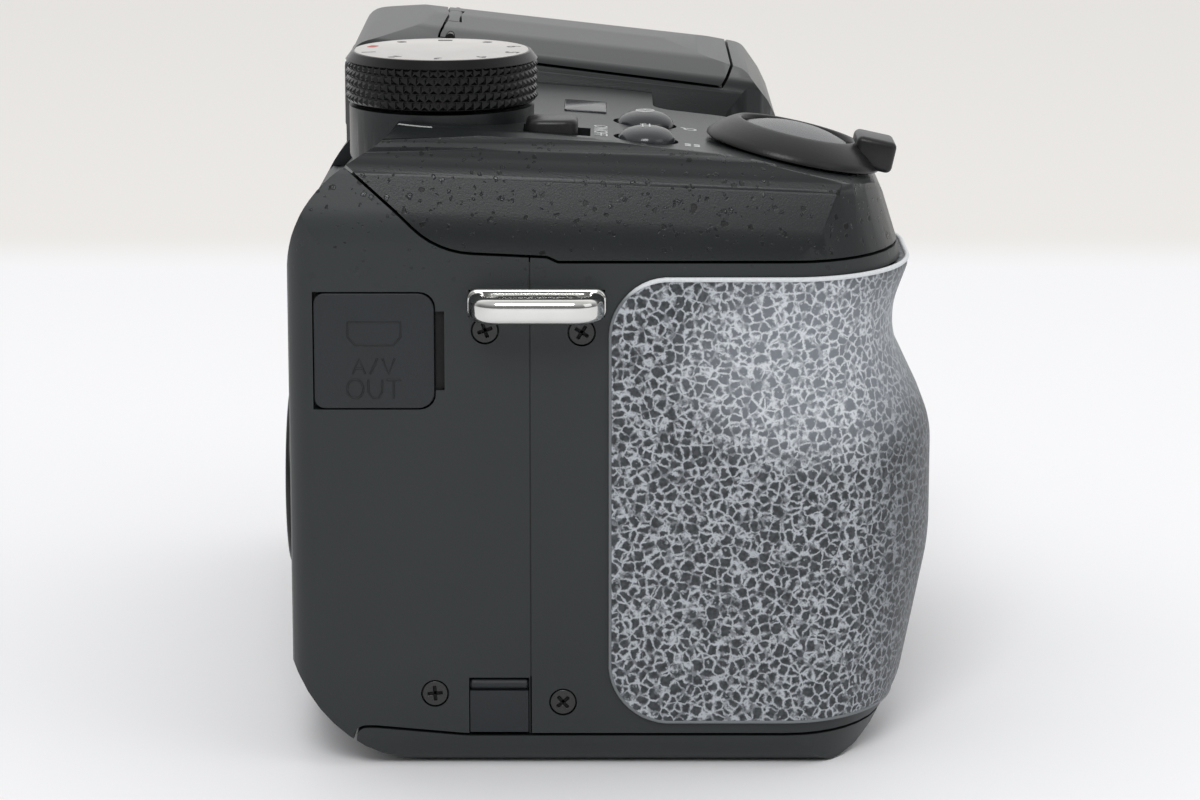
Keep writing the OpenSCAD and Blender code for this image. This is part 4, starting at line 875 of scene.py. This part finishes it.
# rear keys
rearKeys = ("dioptre_dial", "flash_button", "selector_pad", "selector_carrier", "menu_button",
            "playback_button", "mode_button", "display_button", "exposure_button")
for node in rearKeys:
    edged(node, blackPlastic, 0.35, 3)
rearMarks = {"thick": 0.03, "sink": 0.01, "centre": (-42.5, 25.5), "radius": 7.6, "face": 24.69, "arrow": 0.8}
thick = rearMarks["thick"]
keyMarks = {"playback_button": moved(disc(1.1, thick, 3), Matrix.Rotation(math.pi / 2, 4, "Z")),
            "mode_button": plate(1.9, 1.3, thick, 0.3), "display_button": hoop(0.8, 1.15, thick, 32),
            "exposure_button": plate(1.9, 0.45, thick, 0.1), "menu_button": hoop(1.2, 1.5, thick)}
for node, ink in keyMarks.items():
    low, high = (Vector(corner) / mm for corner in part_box(node))
    place = ((low.x + high.x) / 2, high.y - rearMarks["sink"], (low.z + high.z) / 2)
    keepPiece(moved(ink, facing("rear", place, 180)), node + "_mark", whitePaint, node, hides=False)
arrows = []
for angle in (0, 90, 180, 270):
    turn = math.radians(angle)
    x = rearMarks["centre"][0] + rearMarks["radius"] * math.cos(turn)
    z = rearMarks["centre"][1] + rearMarks["radius"] * math.sin(turn)
    arrow = disc(rearMarks["arrow"], thick, 3)
    arrows.append(moved(arrow, facing("rear", (x, rearMarks["face"], z), 90 - angle)))
keepPiece(joined(*arrows), "selector_marks", whitePaint, "selector_pad", hides=False)
print("rear done")


# thread of the tripod socket
tripodThread = {"turns": 5, "pitch": 0.9, "root": 3.17, "crest": 2.75, "mouth": 0.15,
                "steps": (0.4, 0.5, 0.85)}
root, crest = tripodThread["root"], tripodThread["crest"]
zigzag = [(root, tripodThread["mouth"])]
for step in range(tripodThread["turns"]):
    level = tripodThread["mouth"] + tripodThread["pitch"] * step
    zigzag += [(radius, level + rise) for radius, rise in zip((crest, crest, root), tripodThread["steps"])]
thread = lathe(zigzag, 64)
for face in thread.faces:
    face.normal_flip()
keepPiece(thread, "tripod_thread", steel, "tripod_socket", hides=False, crease=20)

# finishes of the parts that stay as they are
plainFinishes = {"steel": steel, "circuit_board": boardGreen, "inner_plastic": innerPlastic,
                 "cell_metal": cellWrap, "lens_glass": lensGlass, "screen_plastic": screenPlastic,
                 "screen_cell": panelGrey, "lug_chrome": chrome, "black_plastic": blackPlastic,
                 "lens_black": lensBlack}
ownFinishes = {"focus_lamp": lampAmber, "flash_hinge_pin": blackSteel}
for node in nodes:
    finish = ownFinishes.get(node, plainFinishes.get(slotOf[node]))
    if finish:
        nodes[node].data.materials.clear()
        nodes[node].data.materials.append(finish)
print("inner parts done")


# stage: white table, pale wall colour beyond it, a soft sky and a lamp from the viewer's side
stageSetup = {"half": 4, "tableEnd": 0.237, "blur": 0.02, "drop": 0.00002, "table": tone(247, 247, 249),
              "wall": tone(237, 234, 230), "aim": (-0.02, 0, 0.03)}
floorMesh = bmesh.new()
bmesh.ops.create_grid(floorMesh, x_segments=8, y_segments=8, size=stageSetup["half"])
floorData = bpy.data.meshes.new("floor")
floorMesh.to_mesh(floorData)
floorMesh.free()
floor = bpy.data.objects.new("floor", floorData)
floor.location.z = cadBox[0][2] - stageSetup["drop"]
bpy.context.scene.collection.objects.link(floor)
floorFinish, at, feed = newFinish("table", Roughness=0.7)
end = stageSetup["tableEnd"] / mm
beyond = ramp(axisOf(at, "X"), end - stageSetup["blur"] / mm, end + stageSetup["blur"] / mm)
feed(Base_Color=mixed(beyond, stageSetup["table"], stageSetup["wall"]))
floorData.materials.append(floorFinish)

lamps = {"viewer": {"place": (-0.93, 0.1, 0.93), "size": 0.45, "power": 5.4},
         "front": {"place": (-0.6, -0.9, 0.5), "size": 0.6, "power": 0.9}}
for name, lamp in lamps.items():
    data = bpy.data.lights.new(name, "AREA")
    data.shape = "SQUARE"
    data.size = lamp["size"]
    data.energy = lamp["power"]
    light = bpy.data.objects.new(name, data)
    light.location = lamp["place"]
    beam = Vector(stageSetup["aim"]) - light.location
    light.rotation_euler = beam.to_track_quat("-Z", "Y").to_euler()
    bpy.context.scene.collection.objects.link(light)
skySetup = {"dim": 0.2, "back": 0.7, "backRange": (-0.3, 0.7), "above": 0.62, "aboveRange": (0.1, 0.8),
            "tint": tone(240, 240, 240)}
world = bpy.data.worlds.new("studio")
world.use_nodes = True
background = world.node_tree.nodes["Background"]
background.inputs["Color"].default_value = skySetup["tint"]
sky = Flow(world.node_tree, world.node_tree.nodes.new("ShaderNodeTexCoord").outputs["Generated"])
back = ramp(sky.node("ShaderNodeSeparateXYZ", {}, {0: sky}, "X"), *skySetup["backRange"])
above = ramp(sky.node("ShaderNodeSeparateXYZ", {}, {0: sky}, "Z"), *skySetup["aboveRange"])
glow = skySetup["dim"] + skySetup["back"] * back + skySetup["above"] * above
world.node_tree.links.new(glow.socket, background.inputs["Strength"])
bpy.context.scene.world = world
print("stage done")
